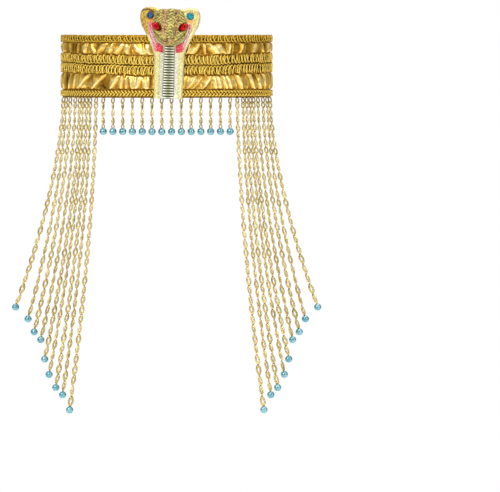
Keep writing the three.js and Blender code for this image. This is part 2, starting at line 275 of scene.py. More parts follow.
FOLDS = {
    # the panel and its side, -1 for the left: each fold's distance from the front's middle,
    # how far its top leans in towards it, its width and its height, all in mm
    ("lower", -1): ((14.8, 2, 1.6, 2.0), (18.0, -4, 1.2, 1.8), (22.2, 3, 1.3, 2.3), (25.6, -1.5, 0.9, 1.7),
                    (28, -1.5, 1.2, 2.1), (31.2, 1.5, 1.1, 1.9), (35.4, 1.5, 1.2, 2.0), (40.8, 8, 1.6, 2.1),
                    (54, 15, 1.7, 2.4), (66, 17, 1.7, 2.3), (72.5, 8, 1.4, 1.8), (76.5, 7, 1.3, 1.9),
                    (81, 6, 1.3, 2.0)),
    ("upper", -1): ((14, -2, 2.0, 1.6), (23, -8, 2.2, 1.9), (31, 0, 1.0, 2.1), (37, 7, 1.8, 1.8),
                    (43.5, 4, 1.4, 1.9), (51, 7, 2.2, 1.7), (58, -3, 1.6, 1.8), (64, 3, 2.0, 1.7),
                    (70, 1, 1.3, 1.5), (76, -2, 1.3, 1.5), (80, 1, 1.2, 1.4)),
    ("lower", 1): ((13.0, -3, 1.3, 0.8), (20.0, -8, 0.9, 1.5), (24.6, -9, 0.9, 1.8), (31.5, -8, 1.5, 2.4),
                   (37.8, 2, 1.3, 1.9), (40.8, 3, 1.3, 1.8), (45.6, 4.5, 1.3, 2.2), (49, 5, 1.2, 1.9),
                   (57.5, 7, 2.0, 2.4), (67, 10, 2.0, 2.4), (72.5, 8, 1.4, 2.0), (77, 7, 1.3, 2.2),
                   (81, 6, 1.2, 1.8)),
    ("upper", 1): ((17, -3, 1.2, 1.8), (22.5, -7, 2.4, 2.1), (29.6, 2, 1.2, 1.9), (37, 9, 3.6, 1.7),
                   (43.5, 8, 2.4, 1.5), (49.5, -2, 1.5, 2.2), (59.5, -4, 1.6, 1.8), (69, -5, 2.0, 1.7),
                   (76, 3, 2.0, 1.5)),
}
FOLD_PEAK = 1.3                           # how peaked a fold's top is
FOLD_SLACK = 0.6                          # how much slower it falls away on the side that it leans from
CREASE_OFF, CREASE_WIDTH = 1.7, 0.6       # the crease beside it, in widths of the fold
RIDGE_SHARE, CREASE_SHARE = 0.85, 0.5
EDGE_ROUNDNESS = 0.25
FULL_PANEL = 9 * MM
BACK_PITCH, BACK_STRAY = 13 * MM, 0.25
BACK_RANGES = ((-9, 9), (1.4, 2.2), (1.6, 2.3))        # lean, width and height of the folds there, in mm
MIDDLE_SAG, TOP_SAG_SHARE = 2.6 * MM, 0.25
SAG_LEVEL, SAG_RIPPLE, SAG_RIPPLES = 0.55, 0.1, 9
rng = np.random.default_rng(7)

loop_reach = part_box("bottom_braid")[1]
LOOP_X = loop_reach.x - LOOP_INSIDE
LOOP_Y = loop_reach.y - LOOP_INSIDE
loop_turns = np.linspace(0, 2 * np.pi, 7201)
loop_steps = np.hypot(np.diff(LOOP_X * np.sin(loop_turns)), np.diff(LOOP_Y * np.cos(loop_turns)))
loop_arc = np.concatenate(([0.0], np.cumsum(loop_steps)))
LOOP_LENGTH = loop_arc[-1]


def unit(vectors):
    return vectors / np.linalg.norm(vectors, axis=-1, keepdims=True)


def turn_at(along):
    return np.interp(np.mod(along, LOOP_LENGTH), loop_arc, loop_turns)


def on_loop(along, outset, z):
    """Points at a distance along the band from its front, off the inside of the loop and at a height."""
    turn = turn_at(along)
    normal = unit(np.stack((LOOP_Y * np.sin(turn), -LOOP_X * np.cos(turn)), -1))
    x = LOOP_X * np.sin(turn) + normal[..., 0] * outset
    y = -LOOP_Y * np.cos(turn) + normal[..., 1] * outset
    return np.stack(np.broadcast_arrays(x, y, z), -1)


def along_at(x):
    """The distance along the band, from its front, of what the front view shows at x."""
    turn = np.arcsin(np.clip(np.abs(x) / (LOOP_X + CLOTH_WALL), 0, 0.999))
    return np.sign(x) * np.interp(turn, loop_turns, loop_arc)


def sag(along):
    """How far the middle trim, and the cloth with it, runs above a straight line: least behind the cobra."""
    turn = turn_at(along)
    return MIDDLE_SAG * (SAG_LEVEL - np.cos(turn) ** 2 + SAG_RIPPLE * np.sin(SAG_RIPPLES * turn))


def keep(piece, **attributes):
    """Keep numbers on a piece's points for its material."""
    for attribute, values in attributes.items():
        made = piece.data.attributes.new(attribute, "FLOAT", "POINT")
        made.data.foreach_set("value", np.asarray(values, dtype=np.float32).ravel())


def add_mesh(name, points, quads, **attributes):
    """A smooth mesh object from arrays of points and four-cornered faces."""
    mesh = bpy.data.meshes.new(name)
    mesh.vertices.add(len(points))
    mesh.vertices.foreach_set("co", np.ascontiguousarray(points, dtype=np.float32).ravel())
    mesh.loops.add(quads.size)
    mesh.loops.foreach_set("vertex_index", quads.astype(np.int32).ravel())
    mesh.polygons.add(len(quads))
    mesh.polygons.foreach_set("loop_start", np.arange(0, quads.size, 4, dtype=np.int32))
    mesh.polygons.foreach_set("use_smooth", np.ones(len(quads), dtype=bool))
    mesh.update(calc_edges=True)
    mesh.validate()
    made = bpy.data.objects.new(name, mesh)
    bpy.context.collection.objects.link(made)
    keep(made, **attributes)
    return made


def grid_quads(rows, columns, wrap_rows, wrap_columns):
    """Faces of a grid whose points run column by column within each row."""
    r = np.arange(rows if wrap_rows else rows - 1)[:, None]
    c = np.arange(columns if wrap_columns else columns - 1)[None, :]
    next_r, next_c = (r + 1) % rows, (c + 1) % columns
    corners = (r * columns + c, r * columns + next_c, next_r * columns + next_c, next_r * columns + c)
    return np.stack(np.broadcast_arrays(*corners), -1).reshape(-1, 4)


def fold_list(panel_name):
    """A panel's folds beside the front, then plain ones round the back: along, lean, width, height."""
    folds = []
    for side in (-1, 1):
        for x, lean_in, width, height in FOLDS[panel_name, side]:
            folds.append((along_at(side * x * MM), -side * lean_in * MM, width * MM, height * MM))
    last = max(fold[0] for fold in folds)
    count = int((LOOP_LENGTH - 2 * last) / BACK_PITCH)
    for i in range(1, count):
        along = last + (LOOP_LENGTH - 2 * last) * (i + rng.uniform(-BACK_STRAY, BACK_STRAY)) / count
        folds.append((along, *[rng.uniform(*limits) * MM for limits in BACK_RANGES]))
    return folds


def panel_rise(along, share, panel, folds, puff):
    """How far a panel's cloth stands out before it is simulated: a puff, and ridges with a crease beside."""
    height = panel[1] - panel[0]
    ridge, crease = np.zeros_like(along), np.zeros_like(along)
    for at, lean_along, width, fold_height in folds:
        off = along - at - lean_along * (share - 0.5)
        off = np.mod(off + LOOP_LENGTH / 2, LOOP_LENGTH) - LOOP_LENGTH / 2
        off = np.where(off * lean_along > 0, off, off * FOLD_SLACK) / width
        ridge = np.maximum(ridge, fold_height * np.exp(-np.abs(off) ** FOLD_PEAK))
        beside = (off * np.sign(lean_along or 1.0) - CREASE_OFF) / CREASE_WIDTH
        crease = np.maximum(crease, fold_height * np.exp(-beside ** 2))
    rise = puff + RIDGE_SHARE * ridge - CREASE_SHARE * np.maximum(crease - ridge, 0)
    return rise * np.sin(np.pi * np.clip(share, 0, 1)) ** EDGE_ROUNDNESS * min(1.0, height / FULL_PANEL)


cloth_rows = []        # each row's height, its panel unless it is stitched down, and how far up the panel
for panel_name, low, high in ((None, 0.0, LOWER_PANEL[0]), ("lower", *LOWER_PANEL),
                              (None, LOWER_PANEL[1], UPPER_PANEL[0]), ("upper", *UPPER_PANEL),
                              (None, UPPER_PANEL[1], BAND_TOP)):
    row_count = PANEL_ROWS.get(panel_name, STITCHED_ROWS)
    for i in range(row_count):
        cloth_rows.append((low + (high - low) * i / row_count, panel_name, i / row_count))
cloth_rows.append((BAND_TOP, None, 0.0))
outer_rows = len(cloth_rows)

cloth_along = np.arange(CLOTH_COLUMNS) * LOOP_LENGTH / CLOTH_COLUMNS
panel_folds = {panel_name: fold_list(panel_name) for panel_name in PANELS}
puff_along = np.linspace(0, LOOP_LENGTH, PUFF_STEPS)
panel_puff = {panel_name: np.interp(cloth_along, puff_along, rng.uniform(*PUFF_RANGE, PUFF_STEPS) * MM)
              for panel_name in PANELS}
rises = np.zeros((outer_rows, CLOTH_COLUMNS))
for i, (z, panel_name, share) in enumerate(cloth_rows):
    if panel_name:
        rises[i] = panel_rise(cloth_along, share, PANELS[panel_name], panel_folds[panel_name],
                              panel_puff[panel_name])
rises = np.clip(rises, LEAST_PUFF, MOST_PUFF)
flat_z = np.array([row[0] for row in cloth_rows])
sag_share = np.interp(flat_z, (*LOWER_PANEL, *UPPER_PANEL), (0, 1, 1, TOP_SAG_SHARE))
row_z = flat_z[:, None] + sag_share[:, None] * sag(cloth_along)
base = on_loop(cloth_along[None, :], CLOTH_WALL, row_z)
start = on_loop(cloth_along[None, :], CLOTH_WALL + rises, row_z)
outward = unit(on_loop(cloth_along[None, :], CLOTH_WALL + MM, row_z) - base)


def gathered(points):
    """The outer cloth after a cloth simulation, with its stitched rows held."""
    rows, columns = points.shape[:2]
    loose = add_mesh("gathering", points.reshape(-1, 3) * SIM_SCALE, grid_quads(rows, columns, False, True))
    held = loose.vertex_groups.new(name="stitched")
    held_rows = [i for i, row in enumerate(cloth_rows) if row[1] is None or row[2] == 0.0]
    held.add([i * columns + c for i in held_rows for c in range(columns)], 1.0, "REPLACE")
    cloth = loose.modifiers.new("cloth", "CLOTH")
    cloth.settings.vertex_group_mass = "stitched"
    for name, value in CLOTH_SETTINGS.items():
        setattr(cloth.settings, name, value)
    cloth.settings.effector_weights.gravity = 0.0
    cloth.collision_settings.use_collision = False
    for step in range(1, SIM_FRAMES + 1):
        bpy.context.scene.frame_set(step)
    shaped = loose.evaluated_get(bpy.context.evaluated_depsgraph_get())
    found = np.empty(rows * columns * 3, dtype=np.float32)
    shaped.data.vertices.foreach_get("co", found)
    bpy.data.objects.remove(loose)
    bpy.context.scene.frame_set(1)
    return found.reshape(points.shape).astype(float) / SIM_SCALE


moved = gathered(start) - base
along_mean = (np.roll(moved, 1, 1) + 2 * moved + np.roll(moved, -1, 1)) / 4
moved[1:-1] = (along_mean[:-2] + 2 * along_mean[1:-1] + along_mean[2:]) / 4
free_rise = np.sum(moved * outward, -1)
held_rise = np.clip(free_rise, LEAST_PUFF, MOST_PUFF)
moved += outward * (held_rise - free_rise)[..., None]
lining = on_loop(cloth_along[None, :], 0.0, np.linspace(BAND_TOP, 0.0, LINING_ROWS)[:, None])
band_points = np.concatenate((base + moved, lining)).reshape(-1, 3)
# The cloth is painted darker in its creases and lighter on its ridges, by how far it stands out: painted
# shade and painted highlight, eased along the stitching.
at_edge = np.array([1 - math.sin(math.pi * share) ** 0.5 for z, panel_name, share in cloth_rows])
outer_fold_shade = held_rise / MOST_PUFF + EDGE_LIGHT * at_edge[:, None]
fold_shade_values = np.concatenate((outer_fold_shade, np.zeros((LINING_ROWS, CLOTH_COLUMNS))))
band_quads = grid_quads(outer_rows + LINING_ROWS, CLOTH_COLUMNS, True, True)
band = add_mesh("band_lame", band_points, band_quads, fold=fold_shade_values)

lame = Paint("gold_lame")
lame_place = lame.place()
fold = lame.attribute("fold")
crinkle = lame.noise(lame_place, scale=420.0, detail=3.0)
cloud = lame.noise(lame_place, scale=90.0, detail=2.0)
wrinkle = lame.noise(lame_place, scale=210.0, detail=1.5)
# Dark brown in the creases to cream on the ridges: painted shade and painted highlight. The cloud is the
# lame's own uneven tone.
lame_gold_and_fold_shade = lame.make(
    "ShaderNodeValToRGB",
    {"stops": ((0.0, (0.15, 0.065, 0.005)), (0.3, (0.46, 0.24, 0.024)), (0.6, (0.76, 0.47, 0.08)),
               (1.0, (0.99, 0.80, 0.34)))},
    Fac=fold * 0.95 + cloud * 0.4 - 0.15,
)["Color"]
band.data.materials.append(lame.finish(
    Base_Color=lame_gold_and_fold_shade,
    Metallic=0.85,
    Specular_Tint=(0.95, 0.75, 0.45),
    Roughness=crinkle * 0.14 + 0.28,
    Normal=lame.bump(wrinkle + crinkle * 0.3, distance=0.45 * MM, strength=0.6),
))
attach(band, "root")
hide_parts("band_cloth")


# Gold gimp trims sewn over the gathers: a scalloped row of loops along the top, two rows of tall loops across
# the middle and a flat three-strand plait along the hem, each on a narrow tape.
GIMP_OUTSET = 3.1 * MM
TAPE_INSIDE, TAPE_OUTSIDE = 1.6 * MM, 2.3 * MM
TAPE_COLUMNS = 240
CORD_SIDES = 6
LOOP_CORD, UNDER_CORD, PLAIT_CORD = (0.62 * MM, 0.5 * MM), (0.62 * MM, 0.45 * MM), (0.72 * MM, 0.5 * MM)
THREAD_TWIST = 0.62        # the pitch of a cord's threads, in mm
FULL_RISE = 1.8 * MM
SIDE_STRETCH = 0.8        # how much longer the trims' loops are at the sides than in front
UNEVEN_SWING, UNEVEN_LEAN, UNEVEN_HEIGHT = 0.4, 0.55, 0.16


def cord_round_band(along, outset, z, half_width, half_height):
    """A flattened cord along a closed route on the band: its points, faces and thread map."""
    middle = on_loop(along, outset, z)
    out = unit(on_loop(along, outset + MM, z) - middle)
    ahead = unit(np.roll(middle, -1, 0) - np.roll(middle, 1, 0))
    across = unit(np.cross(ahead, out))
    up = np.cross(across, ahead)
    turn = np.linspace(0, 2 * np.pi, CORD_SIDES, endpoint=False)[None, :, None]
    points = (middle[:, None] + across[:, None] * np.cos(turn) * half_width
              + up[:, None] * np.sin(turn) * half_height)
    count = len(middle)
    steps = np.linalg.norm(np.roll(middle, -1, 0) - middle, axis=-1)
    length = np.concatenate(([0.0], np.cumsum(steps))) / MM
    first, second = np.arange(count).repeat(CORD_SIDES), np.tile(np.arange(CORD_SIDES), count)
    around = ((first, second), (first, second + 1), (first + 1, second + 1), (first + 1, second))
    threads = np.stack([np.stack((length[i], j / CORD_SIDES), -1) for i, j in around], 1)
    return points.reshape(-1, 3), grid_quads(count, CORD_SIDES, True, True), threads


def tape_round_band(low, high, sag_share):
    """The narrow tape under a trim, a closed ring."""
    along = np.arange(TAPE_COLUMNS) * LOOP_LENGTH / TAPE_COLUMNS
    section = ((TAPE_OUTSIDE, low), (TAPE_OUTSIDE, high), (TAPE_INSIDE, high), (TAPE_INSIDE, low))
    points = np.stack([on_loop(along, outset, z + sag_share * sag(along)) for outset, z in section], 0)
    quads = grid_quads(len(section), TAPE_COLUMNS, True, True)
    return points.reshape(-1, 3), quads, np.zeros((len(quads), 4, 2))


def add_trim(name, parts, node, painted_light_share):
    """One trim from its cords and tape, with how far out each point lies kept for its painted shade and
    highlight.
    """
    starts = np.cumsum([0] + [len(part[0]) for part in parts[:-1]])
    points = np.concatenate([part[0] for part in parts])
    quads = np.concatenate([part[1] + start for part, start in zip(parts, starts)])
    threads = np.concatenate([part[2] for part in parts])
    turn = np.arctan2(points[:, 0] / LOOP_X, -points[:, 1] / LOOP_Y)
    rise = np.linalg.norm(points[:, :2], axis=1) - np.hypot(LOOP_X * np.sin(turn), LOOP_Y * np.cos(turn))
    trim = add_mesh(name, points, quads, rise=np.clip((rise - TAPE_OUTSIDE) / FULL_RISE, 0, 1) * painted_light_share)
    trim.data.uv_layers.new(name="thread").data.foreach_set("uv", threads.astype(np.float32).ravel())
    trim.data.materials.append(gimp.material)
    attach(trim, "root")
    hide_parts(node)


loop_stretch = 1 + SIDE_STRETCH * np.sin(loop_turns) ** 2
loop_share = np.concatenate(([0.0], np.cumsum(loop_steps * 2 / (loop_stretch[1:] + loop_stretch[:-1]))))
FRONT_LENGTH = loop_share[-1]


def stretched(share):
    """How far along the band a share of a trim's loops reaches, and how much it is stretched there."""
    share = np.mod(share, 1.0) * FRONT_LENGTH
    return np.interp(share, loop_share, loop_arc), np.interp(share, loop_share, loop_stretch)


def scroll_cord(count, middle_z, half_height, swing, lift, start, sag_share, upside, outset, steps):
    """A cord that curls in tall loops along the band: the route of one scroll, a little uneven by hand."""
    t = np.arange(count * steps) * 2 * np.pi / steps
    loop_number = t / (2 * np.pi)
    uneven, sideways = (np.interp(loop_number, np.arange(count + 1), np.append(strays, 0.0))
                        for strays in rng.uniform(-1, 1, (2, count)))
    along, stretch = stretched((loop_number + start) / count)
    leaning = UNEVEN_LEAN * sideways * (1 + np.cos(t)) * upside
    along = along - swing * stretch * ((1 + UNEVEN_SWING * uneven) * np.sin(t) - leaning)
    z = middle_z + sag_share * sag(along) + upside * half_height * (1 + UNEVEN_HEIGHT * uneven) * np.cos(t)
    return along, outset + lift * np.sin(t), z


gimp = Paint("gold_gimp")
gimp_place = gimp.place()
rise = gimp.attribute("rise")
thread = gimp.make("ShaderNodeSeparateXYZ", Vector=gimp.make("ShaderNodeUVMap", {"uv_map": "thread"})["UV"])
strand_twist = (thread["X"] * (2 * math.pi / THREAD_TWIST) + thread["Y"] * (2 * math.pi)).wave()
gimp_shift = gimp.noise(gimp_place, scale=160.0, detail=2.0)
# The nearer the tape, the darker: painted shade on the tape and under the loops, painted highlight on the
# outermost cords. The shift is the gimp's own uneven tone.
gimp_gold_and_painted_shade = gimp.make(
    "ShaderNodeValToRGB",
    {"stops": ((0.0, (0.10, 0.055, 0.006)), (0.35, (0.36, 0.215, 0.022)), (0.7, (0.80, 0.52, 0.06)),
               (1.0, (1.0, 0.80, 0.22)))},
    Fac=rise * 0.85 + gimp_shift * 0.3 - 0.1,
)["Color"]
gimp.finish(
    Base_Color=gimp.blend(strand_twist * 0.35, gimp_gold_and_painted_shade, (0.30, 0.15, 0.02)),
    Metallic=0.75,
    Specular_Tint=(0.95, 0.8, 0.5),
    Roughness=gimp_shift * 0.15 + 0.24,
    Normal=gimp.bump(strand_twist, distance=0.12 * MM, strength=0.7),
)

TOP_LOOP_PITCH = 2.6 * MM
TOP_MARGINS = (0.3 * MM, 1.2 * MM)
TOP_LOOPS = (
    # how far below the trim's middle, half height, swing and lift, in mm, start, upside, inset in mm,
    # steps in a loop, cord
    (0.0, 2.35, 1.35, 0.42, 0.0, 1, 0.0, 14, LOOP_CORD),
    (0.6, 1.7, 1.2, 0.3, 0.5, -1, 0.45, 12, UNDER_CORD),
)
top_low, top_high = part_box("top_braid")[0].z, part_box("top_braid")[1].z
top_middle = (top_low + top_high) / 2
top_count = round(FRONT_LENGTH / TOP_LOOP_PITCH)
top_parts = [tape_round_band(top_low + TOP_MARGINS[0], top_high - TOP_MARGINS[1], TOP_SAG_SHARE)]
for below, half_height, swing, lift, start, upside, inset, steps, cord in TOP_LOOPS:
    route = scroll_cord(top_count, top_middle - below * MM, half_height * MM, swing * MM, lift * MM, start,
                        TOP_SAG_SHARE, upside, GIMP_OUTSET - inset * MM, steps)
    top_parts.append(cord_round_band(*route, *cord))
add_trim("top_gimp", top_parts, "top_braid", painted_light_share=0.85)

MIDDLE_LOOP_PITCH = 2.7 * MM
MIDDLE_MARGIN, MIDDLE_ROW_MARGIN = 0.5 * MM, 0.8 * MM
MIDDLE_SWING, MIDDLE_LIFT, MIDDLE_STEPS = 1.15 * MM, 0.42 * MM, 16
MIDDLE_ROWS = ((-1, 0.0), (1, 0.37))        # upside and start of each row
MIDDLE_LAYERS = ((1, 0.0, 0.0, 1.0), (-1, 0.5, 0.5 * MM, 0.92))        # upside, start, inset, height share
middle_low, middle_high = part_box("middle_braid")[0].z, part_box("middle_braid")[1].z
row_height = (middle_high - middle_low) / 2
middle_count = round(FRONT_LENGTH / MIDDLE_LOOP_PITCH)
middle_parts = [tape_round_band(middle_low + MIDDLE_MARGIN, middle_high - MIDDLE_MARGIN, 1.0)]
for row, (row_upside, row_start) in enumerate(MIDDLE_ROWS):
    row_middle = middle_low + row_height * (row + 0.5)
    for upside, start, inset, share in MIDDLE_LAYERS:
        half_height = (row_height / 2 - MIDDLE_ROW_MARGIN) * share
        route = scroll_cord(middle_count, row_middle, half_height, MIDDLE_SWING, MIDDLE_LIFT,
                            row_start + start, 1.0, upside * row_upside, GIMP_OUTSET - inset, MIDDLE_STEPS)
        middle_parts.append(cord_round_band(*route, *LOOP_CORD))
add_trim("middle_gimp", middle_parts, "middle_braid", painted_light_share=1.15)

PLAIT_STRANDS, PLAIT_WAVE, PLAIT_STEPS = 3, 7.8 * MM, 18
PLAIT_RAISE, PLAIT_HALF_HEIGHT, PLAIT_CROSSING = 0.4 * MM, 1.85 * MM, 0.55 * MM
PLAIT_MARGIN = 0.4 * MM
bottom_low, bottom_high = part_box("bottom_braid")[0].z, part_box("bottom_braid")[1].z
plait_count = round(FRONT_LENGTH / PLAIT_WAVE)
bottom_parts = [tape_round_band(bottom_low, bottom_high - PLAIT_MARGIN, 0.0)]
for strand in range(PLAIT_STRANDS):
    t = np.arange(plait_count * PLAIT_STEPS) * 2 * np.pi / PLAIT_STEPS
    phase = t + strand * 2 * np.pi / PLAIT_STRANDS
    along = stretched(t / (2 * np.pi * plait_count))[0]
    z = (bottom_low + bottom_high) / 2 + PLAIT_RAISE + PLAIT_HALF_HEIGHT * np.sin(phase)
    outset = GIMP_OUTSET - PLAIT_CROSSING * np.sin(2 * phase)
    bottom_parts.append(cord_round_band(along, outset, z, *PLAIT_CORD))
add_trim("hem_plait", bottom_parts, "bottom_braid", painted_light_share=1.0)


# The cobra's hood and straight body: one moulded plate of plastic under pale gold glitter, glued to the front
# of the band with a slight lean, with a rounded rim, swelling lobes and a soft strip each side of the belly.
# Sizes are in mm from the cobra's own middle and from the hem.
SNAKE_X = 2.1 * MM
SNAKE_LEAN = math.radians(1.7)
SNAKE_MIDDLE_Z = 36 * MM
SNAKE_BOTTOM = -0.8
PLATE_BACK, PLATE_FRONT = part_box("snake_hood")[1].y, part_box("snake_hood")[0].y
PLATE_VOXEL = 0.45 * MM
BODY_HALF_WIDTH = 11.4
NECK = (12.0, 34.0)
HOOD_CURVES = (
    # the bend's x and z, then the end's
    (15.0, 44.0, 22.2, 56.2),
    (23.9, 60.2, 23.9, 64.2),
    (23.9, 68.4, 21.4, 70.4),
    (19.4, 71.7, 15.0, 71.7),
    (7.5, 70.0, 0.0, 70.0),
)
CURVE_STEPS = 10
LOBE_Z, LOBE_X, BODY_Z = (44, 56), (9, 13), (34, 42)        # where the lobes begin and the body ends
JEWEL_X, JEWEL_Z, JEWEL_CLEAR = 15.7, 65.0, (2.8, 4.2)
# ridges and hollows: how far from the edge, the jewel or the cobra's middle, how wide and how high
RIM, EDGE = (1.5, 1.0, 0.75), (0.0, 0.8, -1.0)
LOBE_SWELL = (6.0, 3.2, 0.9)
JEWEL_RING, JEWEL_SEAT = (3.3, 0.55, 0.55), (0.0, 2.2, -0.3)
BODY_STRIP = (7.2, 1.9, 0.6)
CREASE = (0.0, 0.7, 1.0)
LOBE_CREASE, CREASE_DEPTH = ((-22.4, 68.4), (-19.8, 69.7), (-16.2, 69.5), (-12.8, 67.3)), 0.5
BELLY_BED, BED_DEPTH = (3.6, 4.8), 0.3
PEBBLE_UP, PEBBLE_ACROSS, PEBBLE_SLANT, PEBBLE_HEIGHT = 1.9, 1.7, 1.6, 0.1
PINK_LINE = ((15.4, 58.6), (15.0, 51.0), (12.2, 44.0), (10.6, 38.4))
BLUSH_X, BLUSH_Z, BLUSH_LENGTH, BLUSH_REACH = 15.4, 60.8, 1.6, 2.0


def only(piece):
    """Select one object and make it active."""
    bpy.ops.object.select_all(action="DESELECT")
    piece.select_set(True)
    bpy.context.view_layer.objects.active = piece


def points_of(piece, what="co"):
    """A piece's points, or their normals."""
    found = np.empty(len(piece.data.vertices) * 3)
    piece.data.vertices.foreach_get(what, found)
    return found.reshape(-1, 3)


def set_points(piece, points):
    piece.data.vertices.foreach_set("co", np.ascontiguousarray(points).ravel())
    piece.data.update()


def apply_modifier(piece, kind, **settings):
    modifier = piece.modifiers.new(kind.lower(), kind)
    for name, value in settings.items():
        setattr(modifier, name, value)
    only(piece)
    bpy.ops.object.modifier_apply(modifier=modifier.name)


def bump_at(distance, width):
    """1 at no distance, falling off smoothly over a width."""
    return np.exp(-((distance / width) ** 2))


def raised(distance, at, width, height):
    """A ridge of a width and height, at a distance."""
    return height * bump_at(distance - at, width)


def steps_between(value, low, high):
    """0 below low, 1 above high, and a smooth step between."""
    share = np.clip((value - low) / (high - low), 0, 1)
    return share * share * (3 - 2 * share)


def distance_to(x, z, route):
    """How far points lie from a route of straight stretches."""
    nearest = np.full(len(x), np.inf)
    for (ax, az), (bx, bz) in zip(route[:-1], route[1:]):
        length = max((bx - ax) ** 2 + (bz - az) ** 2, 1e-9)
        share = np.clip(((x - ax) * (bx - ax) + (z - az) * (bz - az)) / length, 0, 1)
        nearest = np.minimum(nearest, np.hypot(x - ax - share * (bx - ax), z - az - share * (bz - az)))
    return nearest


def lean(piece):
    """Tip a piece of the cobra over to the side, as the whole cobra leans."""
    points = points_of(piece)
    x, z = points[:, 0] - SNAKE_X, points[:, 2] - SNAKE_MIDDLE_Z
    points[:, 0] = SNAKE_X + x * math.cos(SNAKE_LEAN) + z * math.sin(SNAKE_LEAN)
    points[:, 2] = SNAKE_MIDDLE_Z - x * math.sin(SNAKE_LEAN) + z * math.cos(SNAKE_LEAN)
    set_points(piece, points)


half_outline = [(BODY_HALF_WIDTH, SNAKE_BOTTOM), NECK]
for bend_x, bend_z, end_x, end_z in HOOD_CURVES:
    start_x, start_z = half_outline[-1]
    for i in range(1, CURVE_STEPS + 1):
        s = i / CURVE_STEPS
        half_outline.append((
            (1 - s) ** 2 * start_x + 2 * s * (1 - s) * bend_x + s * s * end_x,
            (1 - s) ** 2 * start_z + 2 * s * (1 - s) * bend_z + s * s * end_z,
        ))
hood_outline = half_outline + [(-x, z) for x, z in half_outline[-2::-1]]

hood = start_from(bpy.ops.mesh.primitive_circle_add, "cobra_hood", vertices=len(hood_outline), radius=MM,
                  fill_type="NGON")
set_points(hood, np.array([(SNAKE_X + x * MM, PLATE_BACK, z * MM) for x, z in hood_outline]))
bpy.ops.object.mode_set(mode="EDIT")
bpy.ops.mesh.select_all(action="SELECT")
bpy.ops.mesh.extrude_region_move(TRANSFORM_OT_translate={"value": (0, PLATE_FRONT - PLATE_BACK, 0)})
bpy.ops.mesh.select_all(action="SELECT")
bpy.ops.mesh.normals_make_consistent(inside=False)
bpy.ops.object.mode_set(mode="OBJECT")
apply_modifier(hood, "REMESH", mode="VOXEL", voxel_size=PLATE_VOXEL)
apply_modifier(hood, "SMOOTH", factor=0.5, iterations=4)

hood_points = points_of(hood)
hood_x, hood_z = (hood_points[:, 0] - SNAKE_X) / MM, hood_points[:, 2] / MM
side_x = np.abs(hood_x)
from_edge = distance_to(hood_x, hood_z, hood_outline + hood_outline[:1])
from_jewel = np.hypot(side_x - JEWEL_X, hood_z - JEWEL_Z)
on_lobe = steps_between(hood_z, *LOBE_Z) * steps_between(side_x, *LOBE_X)
on_body = 1 - steps_between(hood_z, *BODY_Z)
in_crease = raised(distance_to(hood_x, hood_z, LOBE_CREASE), *CREASE)
relief = raised(from_edge, *RIM) + raised(from_edge, *EDGE)
relief += on_lobe * raised(from_edge, *LOBE_SWELL) * steps_between(from_jewel, *JEWEL_CLEAR)
relief += raised(from_jewel, *JEWEL_RING) + raised(from_jewel, *JEWEL_SEAT)
relief += on_body * raised(side_x, *BODY_STRIP)
relief -= on_body * BED_DEPTH * (1 - steps_between(side_x, *BELLY_BED))
relief -= CREASE_DEPTH * in_crease
pebble = (np.sin(hood_z * 2 * np.pi / PEBBLE_UP + side_x * PEBBLE_SLANT)
          * np.sin(side_x * 2 * np.pi / PEBBLE_ACROSS))
relief += PEBBLE_HEIGHT * pebble * on_body * steps_between(side_x, 4.8, 5.8)
in_front = steps_between(-hood_points[:, 1], -PLATE_BACK + 0.9 * MM, -PLATE_FRONT - 0.6 * MM)
hood_points[:, 1] -= relief * MM * in_front
set_points(hood, hood_points)
lean(hood)
only(hood)
bpy.ops.object.shade_smooth()

# The left side is painted deeper gold than the right, and the left of the body darker: painted shade, as the
# two sides are alike. The dark line in the crease under the left lobe's rim is a painted shadow.
left_side = steps_between(-hood_x, -4, 6)
lobe_gold_and_left_shade = 0.35 + 0.55 * left_side
body_gold_and_left_shade = 0.1 + (0.25 + 0.2 * left_side) * steps_between(side_x, 6.4, 8.4)
body_left_shade = left_side * (0.08 * (side_x < 8) + 0.2 * bump_at(side_x - 7.6, 0.5))
from_blush = np.hypot((side_x - BLUSH_X) / BLUSH_LENGTH, hood_z - BLUSH_Z)
pink_reach = distance_to(side_x, hood_z, PINK_LINE) / (0.8 + 0.8 * left_side)
keep(
    hood,
    gold=np.clip(on_lobe * lobe_gold_and_left_shade + on_body * body_gold_and_left_shade + 0.3 * (1 - on_body), 0, 1),
    orange=bump_at(from_blush, BLUSH_REACH) * in_front,
    dusk=np.clip(in_crease * 1.2 + on_body * body_left_shade, 0, 1),
    pink=(1 - steps_between(pink_reach, 0.7, 1.3)) * in_front,
)
glitter = Paint("pale_gold_glitter")
flake = glitter.make("ShaderNodeTexVoronoi", Vector=glitter.place(), Scale=2100.0)
flake_value = glitter.make("ShaderNodeSeparateColor", Color=flake["Color"])
silver_white = glitter.blend(flake_value["Red"], (0.46, 0.44, 0.32), (0.92, 0.90, 0.76))
pale_yellow = glitter.blend(flake_value["Red"], (0.50, 0.42, 0.13), (0.95, 0.89, 0.45))
deep_gold = glitter.blend(flake_value["Red"].clear_of(0.1, 0.9), (0.20, 0.11, 0.015), (0.84, 0.56, 0.08))
pink_flakes = glitter.blend(flake_value["Green"].clear_of(0.4, 0.95), (0.66, 0.03, 0.12), (1.0, 0.70, 0.76))
gold_and_shade_share = glitter.attribute("gold")
hood_colour = glitter.blend(gold_and_shade_share.clear_of(0.0, 0.42), silver_white, pale_yellow)
hood_colour = glitter.blend(gold_and_shade_share.clear_of(0.5, 1.0), hood_colour, deep_gold)
hood_colour = glitter.blend(glitter.attribute("orange") * 0.8, hood_colour, (0.80, 0.38, 0.08))
